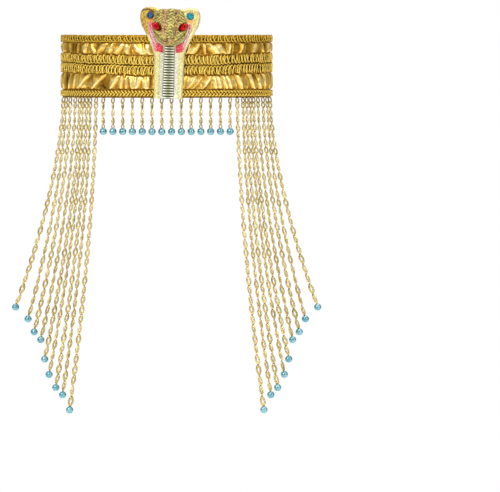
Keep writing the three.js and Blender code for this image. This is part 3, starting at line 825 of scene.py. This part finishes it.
# Painted shadow in the crease under the left lobe's rim and painted shade down the left of the body.
hood_colour = glitter.blend(glitter.attribute("dusk") * 0.9, hood_colour, (0.08, 0.04, 0.008))
hood_colour = glitter.blend(glitter.attribute("pink"), hood_colour, pink_flakes)
hood.data.materials.append(glitter.finish(
    Base_Color=hood_colour,
    Metallic=0.35,
    Roughness=flake_value["Green"] * 0.4 + 0.22,
    Coat_Weight=0.15,
    Normal=glitter.bump(flake["Distance"], distance=0.12 * MM, strength=0.8),
))
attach(hood, "root")
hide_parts("snake_hood")


# The cobra's head: a hollow moulding in dark khaki gold, glued to the hood, with fine scales, a twisted ridge
# from crown to snout, raised brows over the eye stones, and paler lips and cheeks.
HEAD_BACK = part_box("snake_head")[1].y
HEAD_SECTIONS = (
    # height, half width and how far it stands out, in mm, chin first
    (41.4, 0.0, 0.0),
    (42.2, 4.2, 5.2),
    (45.0, 8.6, 7.8),
    (49.5, 12.2, 8.4),
    (55.0, 13.2, 7.2),
    (62.0, 11.6, 5.6),
    (68.4, 10.0, 4.4),
    (70.2, 7.0, 2.4),
    (70.4, 0.0, 0.0),
)
HEAD_GRID = 130
HEAD_WALL = 0.6 * MM
MERGED = 0.001 * MM
EYE_X, EYE_Z, EYE_TURN = 10.8, 56.3, 0.6
EYE_LENGTH, EYE_WIDTH = 8.4, 5.2
EYE_SEAT = 3.2
BROW = ((4.6, 54.6), (9.4, 59.6), (14.0, 62.0))
RIDGE_LEAN, RIDGE_SIDES, RIDGE_START, RIDGE_HEIGHT = 1.3, (1.9, 2.6), (46.5, 49.0), 0.75
BORDER_X, BORDER_Z = (6.8, 8.0), (58.5, 61.0)
LIP_LOW, LIP_RISE, LIP_REACH = 43.6, 8.4, 12.4
CHEEK_X, CHEEK_LOW, CHEEK_HIGH = (3.0, 5.0), (0.3, 1.2), (3.4, 5.4)
NOSE_Z, SNOUT_Z = 45.2, 46.4
NOSTRIL_X, NOSTRIL_Z = 2.3, 47.0
SCALE_PITCH, SCALE_SLANT, SCALE_HEIGHT = 1.65, 0.55, 0.3
TWIST_UP, TWIST_ACROSS = 2.3, 3.4


def smooth_through(values, t):
    """A smooth curve through values that stand at t = 0, 1, 2 and so on."""
    values = np.asarray(values)
    slopes = np.gradient(values)
    i = np.clip(t.astype(int), 0, len(values) - 2)
    s = t - i
    start_share = (1 + 2 * s) * (1 - s) ** 2
    return (start_share * values[i] + (1 - start_share) * values[i + 1]
            + s * (1 - s) ** 2 * slopes[i] - s * s * (1 - s) * slopes[i + 1])


def close_back(piece, depth):
    """Give a raised face a short wall behind its rim and a flat back."""
    only(piece)
    bpy.ops.object.mode_set(mode="EDIT")
    bpy.ops.mesh.select_mode(type="EDGE")
    bpy.ops.mesh.select_all(action="SELECT")
    bpy.ops.mesh.remove_doubles(threshold=MERGED)
    bpy.ops.mesh.select_all(action="DESELECT")
    bpy.ops.mesh.select_non_manifold()
    bpy.ops.mesh.extrude_region_move(TRANSFORM_OT_translate={"value": (0, depth, 0)})
    bpy.ops.mesh.edge_face_add()
    bpy.ops.object.mode_set(mode="OBJECT")
    bpy.ops.object.shade_smooth()


head = start_from(bpy.ops.mesh.primitive_grid_add, "cobra_head", x_subdivisions=HEAD_GRID,
                  y_subdivisions=HEAD_GRID, size=2)
grid_points = points_of(head)
turn = grid_points[:, 0] * math.pi / 2
section_at = (1 + np.sin(grid_points[:, 1] * math.pi / 2)) / 2 * (len(HEAD_SECTIONS) - 1)
head_z, half_width, stands_out = (smooth_through(values, section_at) for values in zip(*HEAD_SECTIONS))
head_x, head_out = half_width * np.sin(turn), stands_out * np.cos(turn)
set_points(head, np.stack((SNAKE_X + head_x * MM, HEAD_BACK - head_out * MM, head_z * MM), -1))

side_x = np.abs(head_x)
eye_along = (side_x - EYE_X) * math.cos(EYE_TURN) + (head_z - EYE_Z) * math.sin(EYE_TURN)
eye_across = (head_z - EYE_Z) * math.cos(EYE_TURN) - (side_x - EYE_X) * math.sin(EYE_TURN)
from_eye = np.hypot(eye_along / (EYE_LENGTH / 2), eye_across / (EYE_WIDTH / 2))
ridge_x = head_x - RIDGE_LEAN * steps_between(head_z, 44, 70)
on_ridge = (1 - steps_between(np.abs(ridge_x), *RIDGE_SIDES)) * steps_between(head_z, *RIDGE_START)
on_border = steps_between(side_x, *BORDER_X) * steps_between(head_z, *BORDER_Z)
from_lip = head_z - (LIP_LOW + LIP_RISE * (side_x / LIP_REACH) ** 2)
on_cheek = (steps_between(from_lip, *CHEEK_LOW) * (1 - steps_between(from_lip, *CHEEK_HIGH))
            * steps_between(side_x, *CHEEK_X))
from_brow = distance_to(side_x, head_z, BROW)
from_nostril = np.hypot(side_x - NOSTRIL_X, head_z - NOSTRIL_Z)
from_snout = np.hypot(head_x / 1.6, head_z - SNOUT_Z)
scale_lattice = (np.cos(2 * np.pi * (head_x + SCALE_SLANT * head_z) / SCALE_PITCH)
                 * np.cos(2 * np.pi * (head_x - SCALE_SLANT * head_z) / SCALE_PITCH))
twist = np.sin(2 * np.pi * (head_z / TWIST_UP + np.abs(ridge_x) / TWIST_ACROSS))
open_side = steps_between(from_eye, 1.15, 1.5) * (1 - on_ridge) * (1 - on_border)
ridge_round = np.cos(np.clip(ridge_x / RIDGE_SIDES[1], -1, 1) * math.pi / 2)
eye_seat = np.maximum(head_out - EYE_SEAT, 0) * (1 - steps_between(from_eye, 0.95, 1.2))
carving = on_ridge * (RIDGE_HEIGHT * ridge_round + 0.36 * twist)
carving += on_border * (0.5 + 0.4 * twist)
carving += (SCALE_HEIGHT * scale_lattice * open_side * (1 - 0.6 * on_cheek)
            * steps_between(half_width, 4.0, 8.0))
carving += 0.75 * bump_at(from_brow, 1.0) * steps_between(from_eye, 0.9, 1.2)
carving += 0.5 * bump_at((from_eye - 1.3) * 2.6, 0.5) - 1.15 * eye_seat
carving += 0.5 * on_cheek - 0.55 * bump_at(from_lip, 0.5) * steps_between(half_width, 4.0, 7.0)
carving += 0.7 * bump_at(from_snout, 1.8) - 0.6 * bump_at(from_nostril, 0.6)
at_rim = np.cos(turn) ** 0.5 * steps_between(half_width, 0.0, 3.0)
set_points(head, points_of(head) + points_of(head, "normal") * (carving * at_rim * MM)[:, None])
# The hollows are darkened in the colour: painted shade in the grooves of the scales and twists, along the
# lip, round the eyes and in the nostrils.
lip_groove = bump_at(from_lip, 0.6) * steps_between(side_x, 2.5, 6.0)
eye_groove = bump_at((from_eye - 1.05) * 2.6, 0.35)
keep(
    head,
    pale=np.clip(0.85 * on_ridge + 0.8 * on_border + on_cheek + 0.7 * bump_at(from_lip + 1.2, 1.0)
                 + 0.3 * bump_at(from_brow, 0.9), 0, 1),
    hollow=np.clip(0.5 - 0.5 * scale_lattice * open_side - 0.5 * (on_ridge + on_border) * twist
                   + 0.9 * lip_groove + 0.7 * bump_at(from_nostril, 0.7) + 0.8 * eye_groove, 0, 1),
    nose=bump_at(np.hypot(head_x, (head_z - NOSE_Z) * 1.2), 1.0),
)
close_back(head, HEAD_WALL)
lean(head)

khaki = Paint("khaki_scales")
khaki_place = khaki.place()
khaki_grain = khaki.noise(khaki_place, scale=900.0, detail=3.0)
khaki_flake = khaki.make("ShaderNodeTexVoronoi", Vector=khaki_place, Scale=1100.0)
khaki_value = khaki.make("ShaderNodeSeparateColor", Color=khaki_flake["Color"])["Red"]
khaki_patch = khaki.noise(khaki_place, scale=380.0, detail=2.0)
fleck = (khaki_value * 0.7 + khaki_patch * 0.6).clear_of(0.3, 0.95)
hollow = khaki.attribute("hollow").clear_of(0.45, 1.0)
dark_khaki = khaki.blend(fleck, (0.055, 0.034, 0.007), (0.63, 0.415, 0.125))
pale_olive = khaki.blend(fleck, (0.23, 0.205, 0.028), (0.75, 0.65, 0.16))
head_colour = khaki.blend(khaki.attribute("pale"), dark_khaki, pale_olive)
# Painted shade in the hollows.
head_colour = khaki.blend(hollow * 0.8, head_colour, (0.035, 0.022, 0.005))
head_colour = khaki.blend(khaki.attribute("nose") * 0.85, head_colour, (0.80, 0.36, 0.22))
head.data.materials.append(khaki.finish(
    Base_Color=head_colour,
    Metallic=0.3,
    Roughness=khaki_value * 0.3 + 0.28,
    Coat_Weight=0.1,
    Normal=khaki.bump(khaki_grain, distance=0.1 * MM, strength=0.6),
))
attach(head, "root")
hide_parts("snake_head")


# The cobra's belly: twenty rounded ribs from the chin to the hem, part of the moulding,
# with silver on the ribs, olive down the middle and dark olive in the grooves.
BELLY_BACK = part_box("belly_scutes")[1].y
BELLY_TOP = 40.8
BELLY_HALF_WIDTH, BELLY_FLARE, BELLY_TAPER = 4.0, 1.06, 0.14
BELLY_COLUMNS = 24
BELLY_WALL = 0.5 * MM
RIB_COUNT, RIB_ROWS = 20, 10
BELLY_BASE, RIB_RISE, SIDE_FALL = 0.5, 0.9, 0.25
belly = start_from(bpy.ops.mesh.primitive_grid_add, "belly_ribs", x_subdivisions=BELLY_COLUMNS,
                   y_subdivisions=RIB_COUNT * RIB_ROWS, size=2)
grid_points = points_of(belly)
u, v = grid_points[:, 0], (grid_points[:, 1] + 1) / 2
rib_share = np.mod(v * RIB_COUNT, 1.0)
rib = np.sin(np.pi * rib_share) ** 1.3 * (0.75 + 0.25 * (1 - rib_share))
side_fall = SIDE_FALL * u ** 4
belly_x = u * BELLY_HALF_WIDTH * (BELLY_FLARE - BELLY_TAPER * v) * MM
belly_y = BELLY_BACK - (BELLY_BASE + RIB_RISE * rib * (1 - side_fall) - side_fall) * MM
belly_z = (SNAKE_BOTTOM + v * (BELLY_TOP - SNAKE_BOTTOM)) * MM
set_points(belly, np.stack((SNAKE_X + belly_x, belly_y, belly_z), -1))
keep(belly, rib=rib, middle=bump_at(u, 0.55))
close_back(belly, BELLY_WALL)
lean(belly)
ribs = Paint("belly_silver_and_olive")
rib_grain = ribs.noise(ribs.place(), scale=1300.0, detail=2.0)
rib_height = (ribs.attribute("rib") + rib_grain * 0.2).clear_of(0.45, 0.85)
rib_top = ribs.blend(ribs.attribute("middle") * 0.8, (0.86, 0.85, 0.74), (0.30, 0.31, 0.10))
belly.data.materials.append(ribs.finish(
    Base_Color=ribs.blend(rib_height, (0.035, 0.04, 0.012), rib_top),
    Metallic=0.25,
    Roughness=rib_grain * 0.2 + 0.25,
    Normal=ribs.bump(rib_grain, distance=0.05 * MM, strength=0.5),
))
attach(belly, "root")
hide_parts("belly_scutes")


# Cut stones of foil-backed acrylic: a round blue one set in each lobe of the hood and a pointed red one for
# each eye, with a flat table and rings of facets round it.
STONE_SIDES = 12
CROWN_STEPS = (0.55, 0.45)        # the shares of the crown's height in its lower and upper ring of facets
CROWN_SWELL = 0.06
FOOT_TAPER = 0.2
EYE_CUT = {"length": EYE_LENGTH * MM, "width": EYE_WIDTH * MM, "girdle": 4.0 * MM, "height": 5.2 * MM,
           "table_share": 0.5, "pointedness": 0.4}
JEWEL_CUT = {"length": 5.2 * MM, "width": 5.2 * MM, "girdle": 0.8 * MM, "height": 1.9 * MM,
             "table_share": 0.56, "pointedness": 0.0}
# The left stone's blues are darker than the right's: painted shade, as the two stones are alike.
BLUES_LIT_AND_SHADED = {"left": ((0.012, 0.03, 0.11), (0.05, 0.13, 0.34)), "right": ((0.0, 0.09, 0.18), (0.01, 0.42, 0.52))}


def cut_stone(name, node, place, turn, length, width, girdle, height, table_share, pointedness):
    """A faceted stone that faces the front, at a place on the cobra, its long axis turned in its plane."""
    setting_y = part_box(node)[1].y
    stone = start_from(bpy.ops.mesh.primitive_cylinder_add, name, vertices=STONE_SIDES, radius=1,
                       depth=girdle, location=(0, 0, girdle / 2))
    bpy.ops.object.transform_apply(location=True, rotation=True, scale=True)
    bpy.ops.object.mode_set(mode="EDIT")
    bpy.ops.mesh.select_mode(type="FACE")
    bpy.ops.mesh.select_all(action="DESELECT")
    bpy.ops.object.mode_set(mode="OBJECT")
    for face in stone.data.polygons:
        face.select = face.normal.z > 0.9
    bpy.ops.object.mode_set(mode="EDIT")
    middle_share = (1 + table_share) / 2 + CROWN_SWELL
    for share, rise in zip((middle_share, table_share / middle_share), CROWN_STEPS):
        bpy.ops.mesh.extrude_region_move(TRANSFORM_OT_translate={"value": (0, 0, (height - girdle) * rise)})
        bpy.ops.transform.resize(value=(share, share, 1), center_override=(0, 0, 0))
        bpy.ops.transform.rotate(value=math.pi / STONE_SIDES, orient_axis="Z", center_override=(0, 0, 0))
    bpy.ops.mesh.select_all(action="SELECT")
    bpy.ops.mesh.quads_convert_to_tris(quad_method="SHORTEST_DIAGONAL")
    bpy.ops.object.mode_set(mode="OBJECT")
    points = points_of(stone)
    radius = np.maximum(np.hypot(points[:, 0], points[:, 1]), 1e-6)
    foot = 1 - FOOT_TAPER * (points[:, 2] < girdle * 0.1)
    along = points[:, 0] * foot * length / 2
    across = points[:, 1] * np.abs(points[:, 1] / radius) ** pointedness * foot * width / 2
    x = SNAKE_X + place[0] * MM + along * math.cos(turn) - across * math.sin(turn)
    z = place[1] * MM + along * math.sin(turn) + across * math.cos(turn)
    set_points(stone, np.stack((x, setting_y - points[:, 2], z), -1))
    lean(stone)
    flash = stone.data.attributes.new("flash", "FLOAT", "FACE")
    flash.data.foreach_set("value", rng.uniform(0, 1, len(stone.data.polygons)).astype(np.float32))
    only(stone)
    bpy.ops.object.shade_flat()
    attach(stone, "root")
    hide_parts(node)
    return stone


def stone_paint(name, deep, bright):
    """A clear coloured stone over foil: each facet is given its own random painted glint."""
    paint = Paint(name)
    gleam = paint.attribute("flash") * 0.8 + paint.noise(paint.place(), scale=500.0, detail=1.0) * 0.25
    return paint.finish(
        Base_Color=paint.blend(gleam.clear_of(0.25, 1.0), deep, bright),
        Metallic=0.1,
        Roughness=gleam * 0.1 + 0.05,
        Specular_IOR_Level=0.25,
    )


red_foil = stone_paint("red_stone", (0.22, 0.0, 0.002), (0.76, 0.001, 0.006))
for side_name, side in (("left", -1), ("right", 1)):
    eye = cut_stone(f"eye_cut_stone_{side_name}", f"eye_stone_{side_name}", (side * EYE_X, EYE_Z),
                    side * EYE_TURN, **EYE_CUT)
    eye.data.materials.append(red_foil)
    jewel = cut_stone(f"hood_cut_stone_{side_name}", f"hood_jewel_{side_name}", (side * JEWEL_X, JEWEL_Z),
                      0.0, **JEWEL_CUT)
    jewel.data.materials.append(stone_paint(f"{side_name}_blue_stone", *BLUES_LIT_AND_SHADED[side_name]))


# Throat marks: thick glitter glue laid on the hood, pale pink in a thin line under each eye and red where it
# widens at the throat. Each is a grainy copy of its solid.
MARK_VOXEL = 0.3 * MM
MARK_MERGED = 0.01 * MM
GRAIN_RANGE = (-0.09, 0.16)
PINK_ABOVE, PINK_OUTSIDE = (42.5, 47), (9.0, 12.0)
red_glitter = Paint("red_glitter_glue")
mark_flake = red_glitter.make("ShaderNodeTexVoronoi", Vector=red_glitter.place(), Scale=1700.0)
mark_value = red_glitter.make("ShaderNodeSeparateColor", Color=mark_flake["Color"])
deep_red = red_glitter.blend(mark_value["Red"].clear_of(0.2, 1.0), (0.48, 0.004, 0.02), (0.95, 0.10, 0.14))
pink = red_glitter.blend(mark_value["Red"], (0.62, 0.12, 0.22), (1.0, 0.82, 0.84))
red_glitter.finish(
    Base_Color=red_glitter.blend(red_glitter.attribute("pink"), deep_red, pink),
    Metallic=0.25,
    Roughness=mark_value["Green"] * 0.3 + 0.2,
    Coat_Weight=0.4,
    Normal=red_glitter.bump(mark_flake["Distance"], distance=0.2 * MM, strength=0.9),
)
for side_name in ("left", "right"):
    node = f"throat_mark_{side_name}"
    mark = bpy.data.objects.new(f"{node}_glitter", bpy.data.objects[node].data.copy())
    bpy.context.collection.objects.link(mark)
    mark.data.materials.clear()
    only(mark)
    bpy.ops.object.mode_set(mode="EDIT")
    bpy.ops.mesh.select_all(action="SELECT")
    bpy.ops.mesh.remove_doubles(threshold=MARK_MERGED)
    bpy.ops.object.mode_set(mode="OBJECT")
    apply_modifier(mark, "REMESH", mode="VOXEL", voxel_size=MARK_VOXEL)
    apply_modifier(mark, "SMOOTH", factor=0.5, iterations=5)
    mark_points = points_of(mark)
    grains = rng.uniform(*GRAIN_RANGE, len(mark_points)) * MM
    set_points(mark, mark_points + points_of(mark, "normal") * grains[:, None])
    mark_x, mark_z = np.abs(mark_points[:, 0] - SNAKE_X) / MM, mark_points[:, 2] / MM
    pinkness = steps_between(mark_z, *PINK_ABOVE) + 0.6 * steps_between(mark_x, *PINK_OUTSIDE)
    keep(mark, pink=np.clip(pinkness, 0, 1))
    bpy.ops.object.shade_smooth()
    mark.data.materials.append(red_glitter.material)
    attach(mark, "root")
    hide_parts(node)


# Gold-tone chains, sewn under the hem by an oval ring: fourteen short ones over the forehead, and nine long
# ones at each temple that hang in a curve. Each link is an almond of thick wire with a small opening, joined
# to the next at its tip and turned a little differently. A small loop holds each front bead.
LINK_WIRE, LINK_WIDTH = 1.25 * MM, 4.0 * MM
FRONT_WIRE, FRONT_WIDTH = 1.35 * MM, 3.8 * MM
OPENING_SHARE = 0.34        # how much of a link's pitch its opening takes up
OPENING_WIDTH = 1.15 * MM
LINK_LAP = 0.9 * MM
LINK_POINT = 1.5
LINK_GROWTH = 0.25
LINK_SEGMENTS, WIRE_SIDES = 12, 5
LINK_TWIST = math.radians(35)
# the links in turn: roll about the chain and slant to the side, in degrees, how pale each is, a painted share
# of light for its turn, and how broad each is
LINK_TURNS = ((8, 4, 0.35, 1.04), (-34, 9, 0.5, 1.0), (44, 8, 0.55, 0.97), (-14, 5, 0.35, 1.04),
              (40, 10, 0.55, 0.97), (-28, 6, 0.45, 1.0))
FRONT_TURNS = ((64, 9, 0.1, 0.95), (-50, 5, 0.75, 1.05), (56, 3, 0.6, 1.0))
SLIM_STRAND = 20        # how much further every second strand is turned edgewise, in degrees
ROLL_STRAY = 7
PALE_FADE, PALE_STRAY = 0.3, 0.15
FRONT_PITCH = 7.0 * MM
TOP_PITCH, END_PITCH = 5.8 * MM, 8.6 * MM
RING_LENGTH, RING_WIDTH, RING_WIRE = 5.8 * MM, 3.4 * MM, 1.1 * MM
RING_SLANT, RING_ROLL = math.radians(7), 0.35
RING_TOP = 0.7 * MM
BEAD_LOOP_LENGTH, BEAD_LOOP_WIDTH, BEAD_LOOP_WIRE = 3.6 * MM, 3.0 * MM, 0.95 * MM
BEAD_LOOP_SINK, BEAD_LOOP_REACH, BEAD_LOOP_STRAY = 0.7 * MM, 1.3 * MM, 0.3
DARK_WIRE = 0.1        # how pale the rings and loops are, a painted share of light, where a pale link has 1
BEAD_RADIUS = 2.9 * MM
FRONT_DROPS, STRANDS = 14, 9
FRONT_ROUTE_POINTS, STRAND_ROUTE_POINTS = 8, 60
STRAND_RADIUS = 1.9 * MM
STRAND_SINK = 0.4 * MM
SWING_POWER = 1.6


def wire_loop(length, width, opening_length, opening_width, wire, twist=0.0, slant=0.0, pointed=1.0):
    """A loop of wire about the origin, its length along z, twisted from end to end and tipped to a side."""
    t = np.arange(LINK_SEGMENTS) * 2 * np.pi / LINK_SEGMENTS
    breadth = np.sign(np.cos(t)) * np.abs(np.cos(t)) ** pointed
    outside = np.stack((width / 2 * breadth, length / 2 * np.sin(t)), -1)
    inside = np.stack((opening_width / 2 * np.cos(t), opening_length / 2 * np.sin(t)), -1)
    turn = np.linspace(0, 2 * np.pi, WIRE_SIDES, endpoint=False)[None, :, None]
    flat = (outside + inside)[:, None] / 2 + (outside - inside)[:, None] / 2 * np.cos(turn)
    x, z = flat[..., 0], flat[..., 1]
    y = np.broadcast_to(wire / 2 * np.sin(turn[..., 0]), x.shape)
    angle = twist * z / length
    side, depth = x * np.cos(angle) - y * np.sin(angle), x * np.sin(angle) + y * np.cos(angle)
    return np.stack((side * math.cos(slant) + z * math.sin(slant), depth,
                     z * math.cos(slant) - side * math.sin(slant)), -1)


def oval_loop(length, width, wire, slant=0.0):
    """An oval of even wire."""
    return wire_loop(length, width, length - 2 * wire, width - 2 * wire, wire, slant=slant)


class Chains:
    """Rings, links and loops gathered into one mesh."""

    def __init__(self):
        self.points, self.quads, self.pale, self.count = [], [], [], 0

    def add(self, shape, place, down, roll, pale):
        """Place a shape, its length along a direction and rolled about it, and keep how pale it is."""
        along = -np.asarray(down) / np.linalg.norm(down)
        across = unit(np.cross((0.0, 1.0, 0.0), along))
        depth = np.cross(along, across)
        x_axis = across * math.cos(roll) + depth * math.sin(roll)
        y_axis = np.cross(along, x_axis)
        self.points.append((place + shape @ np.stack((x_axis, y_axis, along))).reshape(-1, 3))
        self.quads.append(grid_quads(*shape.shape[:2], True, True) + self.count)
        self.pale.append(np.full(len(self.points[-1]), pale))
        self.count += len(self.points[-1])

    def hang(self, route, end, top_pitch, end_pitch, side, turns, wire, width, edgewise=0):
        """Hang a ring and then links along a route, down to a distance before its end."""
        steps = np.linalg.norm(np.diff(route, axis=0), axis=1)
        travelled = np.concatenate(([0.0], np.cumsum(steps)))

        def at(distance):
            return np.stack([np.interp(distance, travelled, route[:, i]) for i in range(3)])

        def direction(distance):
            return at(min(distance + 2 * MM, travelled[-1])) - at(max(distance - 2 * MM, 0.0))

        ring = oval_loop(RING_LENGTH, RING_WIDTH, RING_WIRE, slant=side * RING_SLANT)
        self.add(ring, at(RING_LENGTH / 2), direction(RING_LENGTH / 2), side * RING_ROLL, DARK_WIRE)
        first, last = RING_LENGTH - RING_WIRE - wire / 2, travelled[-1] - end
        link_count = round(2 * (last - first) / (top_pitch + end_pitch))
        pitches = np.linspace(top_pitch, end_pitch, link_count)
        pitches *= (last - first) / pitches.sum()
        for i, pitch in enumerate(pitches):
            middle = first + pitches[:i].sum() + pitch / 2
            roll, slant, pale, breadth = turns[i % len(turns)]
            edged = side * (roll + math.copysign(edgewise, roll))
            turned = math.radians(edged + rng.uniform(-ROLL_STRAY, ROLL_STRAY))
            further = i / link_count - 0.5
            growth = 1 + LINK_GROWTH * further
            link = wire_loop(pitch + LINK_LAP, width * growth * breadth, pitch * OPENING_SHARE,
                             OPENING_WIDTH * growth, wire * growth, LINK_TWIST, math.radians(side * slant),
                             LINK_POINT)
            paleness = pale - PALE_FADE * further + rng.uniform(-PALE_STRAY, PALE_STRAY)
            self.add(link, at(middle), direction(middle), turned, paleness)

    def finish(self, name, nodes):
        points, quads, pale = (np.concatenate(parts) for parts in (self.points, self.quads, self.pale))
        chain = add_mesh(name, points, quads, pale=pale)
        chain.data.materials.append(chain_gold.material)
        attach(chain, "root")
        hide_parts(*nodes)


chain_gold = Paint("gold_tone_wire")
tarnish = chain_gold.noise(chain_gold.place(), scale=240.0, detail=3.0)
# How pale each link is stands for how it catches the light: painted light and shade. The tarnish is the
# wire's own uneven tone.
wire_light_and_tarnish = chain_gold.attribute("pale") * 0.8 + tarnish * 0.4 - 0.1
chain_gold.finish(
    Base_Color=chain_gold.blend(wire_light_and_tarnish, (0.37, 0.27, 0.062), (0.95, 0.78, 0.35)),
    Metallic=1.0,
    Roughness=tarnish * 0.2 + 0.24,
)

bead_places = {"front": [], "left": [], "right": []}
bead_loop = oval_loop(BEAD_LOOP_LENGTH, BEAD_LOOP_WIDTH, BEAD_LOOP_WIRE)
loop_middle = BEAD_RADIUS + BEAD_LOOP_LENGTH / 2 - BEAD_LOOP_SINK
front_chains = Chains()
for i in range(1, FRONT_DROPS + 1):
    bead_low, bead_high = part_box(f"front_bead_{i:02}")
    bead_middle = np.array((bead_low + bead_high) / 2)
    top = np.array((bead_middle[0], bead_middle[1], RING_TOP))
    bead_places["front"].append(bead_middle)
    route = np.linspace(top, bead_middle, FRONT_ROUTE_POINTS)
    front_chains.hang(route, loop_middle + BEAD_LOOP_REACH, FRONT_PITCH, FRONT_PITCH, 1, FRONT_TURNS,
                      FRONT_WIRE, FRONT_WIDTH)
    front_chains.add(bead_loop, bead_middle + np.array((0, 0, loop_middle)), (0, 0, -1),
                     rng.uniform(-BEAD_LOOP_STRAY, BEAD_LOOP_STRAY), DARK_WIRE)
front_chains.finish("front_link_chains", [f"front_chain_{i:02}" for i in range(1, FRONT_DROPS + 1)])

for side_name, side in (("left", -1), ("right", 1)):
    side_chains = Chains()
    for i in range(1, STRANDS + 1):
        low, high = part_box(f"{side_name}_strand_{i}")
        top_x = (low.x if side > 0 else high.x) + side * STRAND_RADIUS
        end_x = (high.x if side > 0 else low.x) - side * BEAD_RADIUS
        end_z = low.z + BEAD_RADIUS
        s = np.linspace(0, 1, STRAND_ROUTE_POINTS)
        route = np.stack((top_x + (end_x - top_x) * s ** SWING_POWER, np.full_like(s, (low.y + high.y) / 2),
                          RING_TOP + (end_z - RING_TOP) * s), -1)
        bead_places[side_name].append(route[-1])
        side_chains.hang(route, BEAD_RADIUS - STRAND_SINK, TOP_PITCH, END_PITCH, -side, LINK_TURNS,
                         LINK_WIRE, LINK_WIDTH, SLIM_STRAND * (i % 2 == 0))
    side_chains.finish(f"{side_name}_link_chains", [f"{side_name}_strand_{i}" for i in range(1, STRANDS + 1)])


# Turquoise beads: round pearly plastic, drilled through, one on the end of every chain.
# One bead is shaped and copied to its places, and the copies of a group are joined.
BEAD_SEGMENTS, BEAD_RINGS = 20, 14
DRILLED_INSIDE, DRILLED_OUTSIDE, DRILLED_DEPTH = 0.2 * MM, 0.8 * MM, 0.25
one_bead = start_from(bpy.ops.mesh.primitive_uv_sphere_add, "one_bead", segments=BEAD_SEGMENTS,
                      ring_count=BEAD_RINGS, radius=BEAD_RADIUS)
bead_points = points_of(one_bead)
bead_reach = np.hypot(bead_points[:, 0], bead_points[:, 1])
drilled = 1 - steps_between(bead_reach, DRILLED_INSIDE, DRILLED_OUTSIDE)
bead_points[:, 2] *= 1 - DRILLED_DEPTH * drilled
set_points(one_bead, bead_points)
bpy.ops.object.shade_smooth()
pearl = Paint("pearly_turquoise")
swirl = pearl.noise(pearl.place(), scale=260.0, detail=2.0)
pearl.finish(
    Base_Color=pearl.blend(swirl.clear_of(0.3, 0.7), (0.12, 0.33, 0.39), (0.26, 0.47, 0.51)),
    Metallic=0.75,
    Specular_Tint=(0.2, 0.4, 0.46),
    Roughness=swirl * 0.1 + 0.22,
    Coat_Weight=0.2,
)
for group, places in bead_places.items():
    copies = []
    for place in places:
        copy = bpy.data.objects.new(f"{group}_bead", one_bead.data.copy())
        set_points(copy, points_of(copy) + place)
        bpy.context.collection.objects.link(copy)
        copies.append(copy)
    bpy.ops.object.select_all(action="DESELECT")
    for copy in copies:
        copy.select_set(True)
    bpy.context.view_layer.objects.active = copies[0]
    bpy.ops.object.join()
    beads = bpy.context.object
    beads.name = f"{group}_beads"
    beads.data.materials.append(pearl.material)
    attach(beads, "root")
    if group == "front":
        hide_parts(*[f"front_bead_{i:02}" for i in range(1, FRONT_DROPS + 1)])
bpy.data.objects.remove(one_bead)
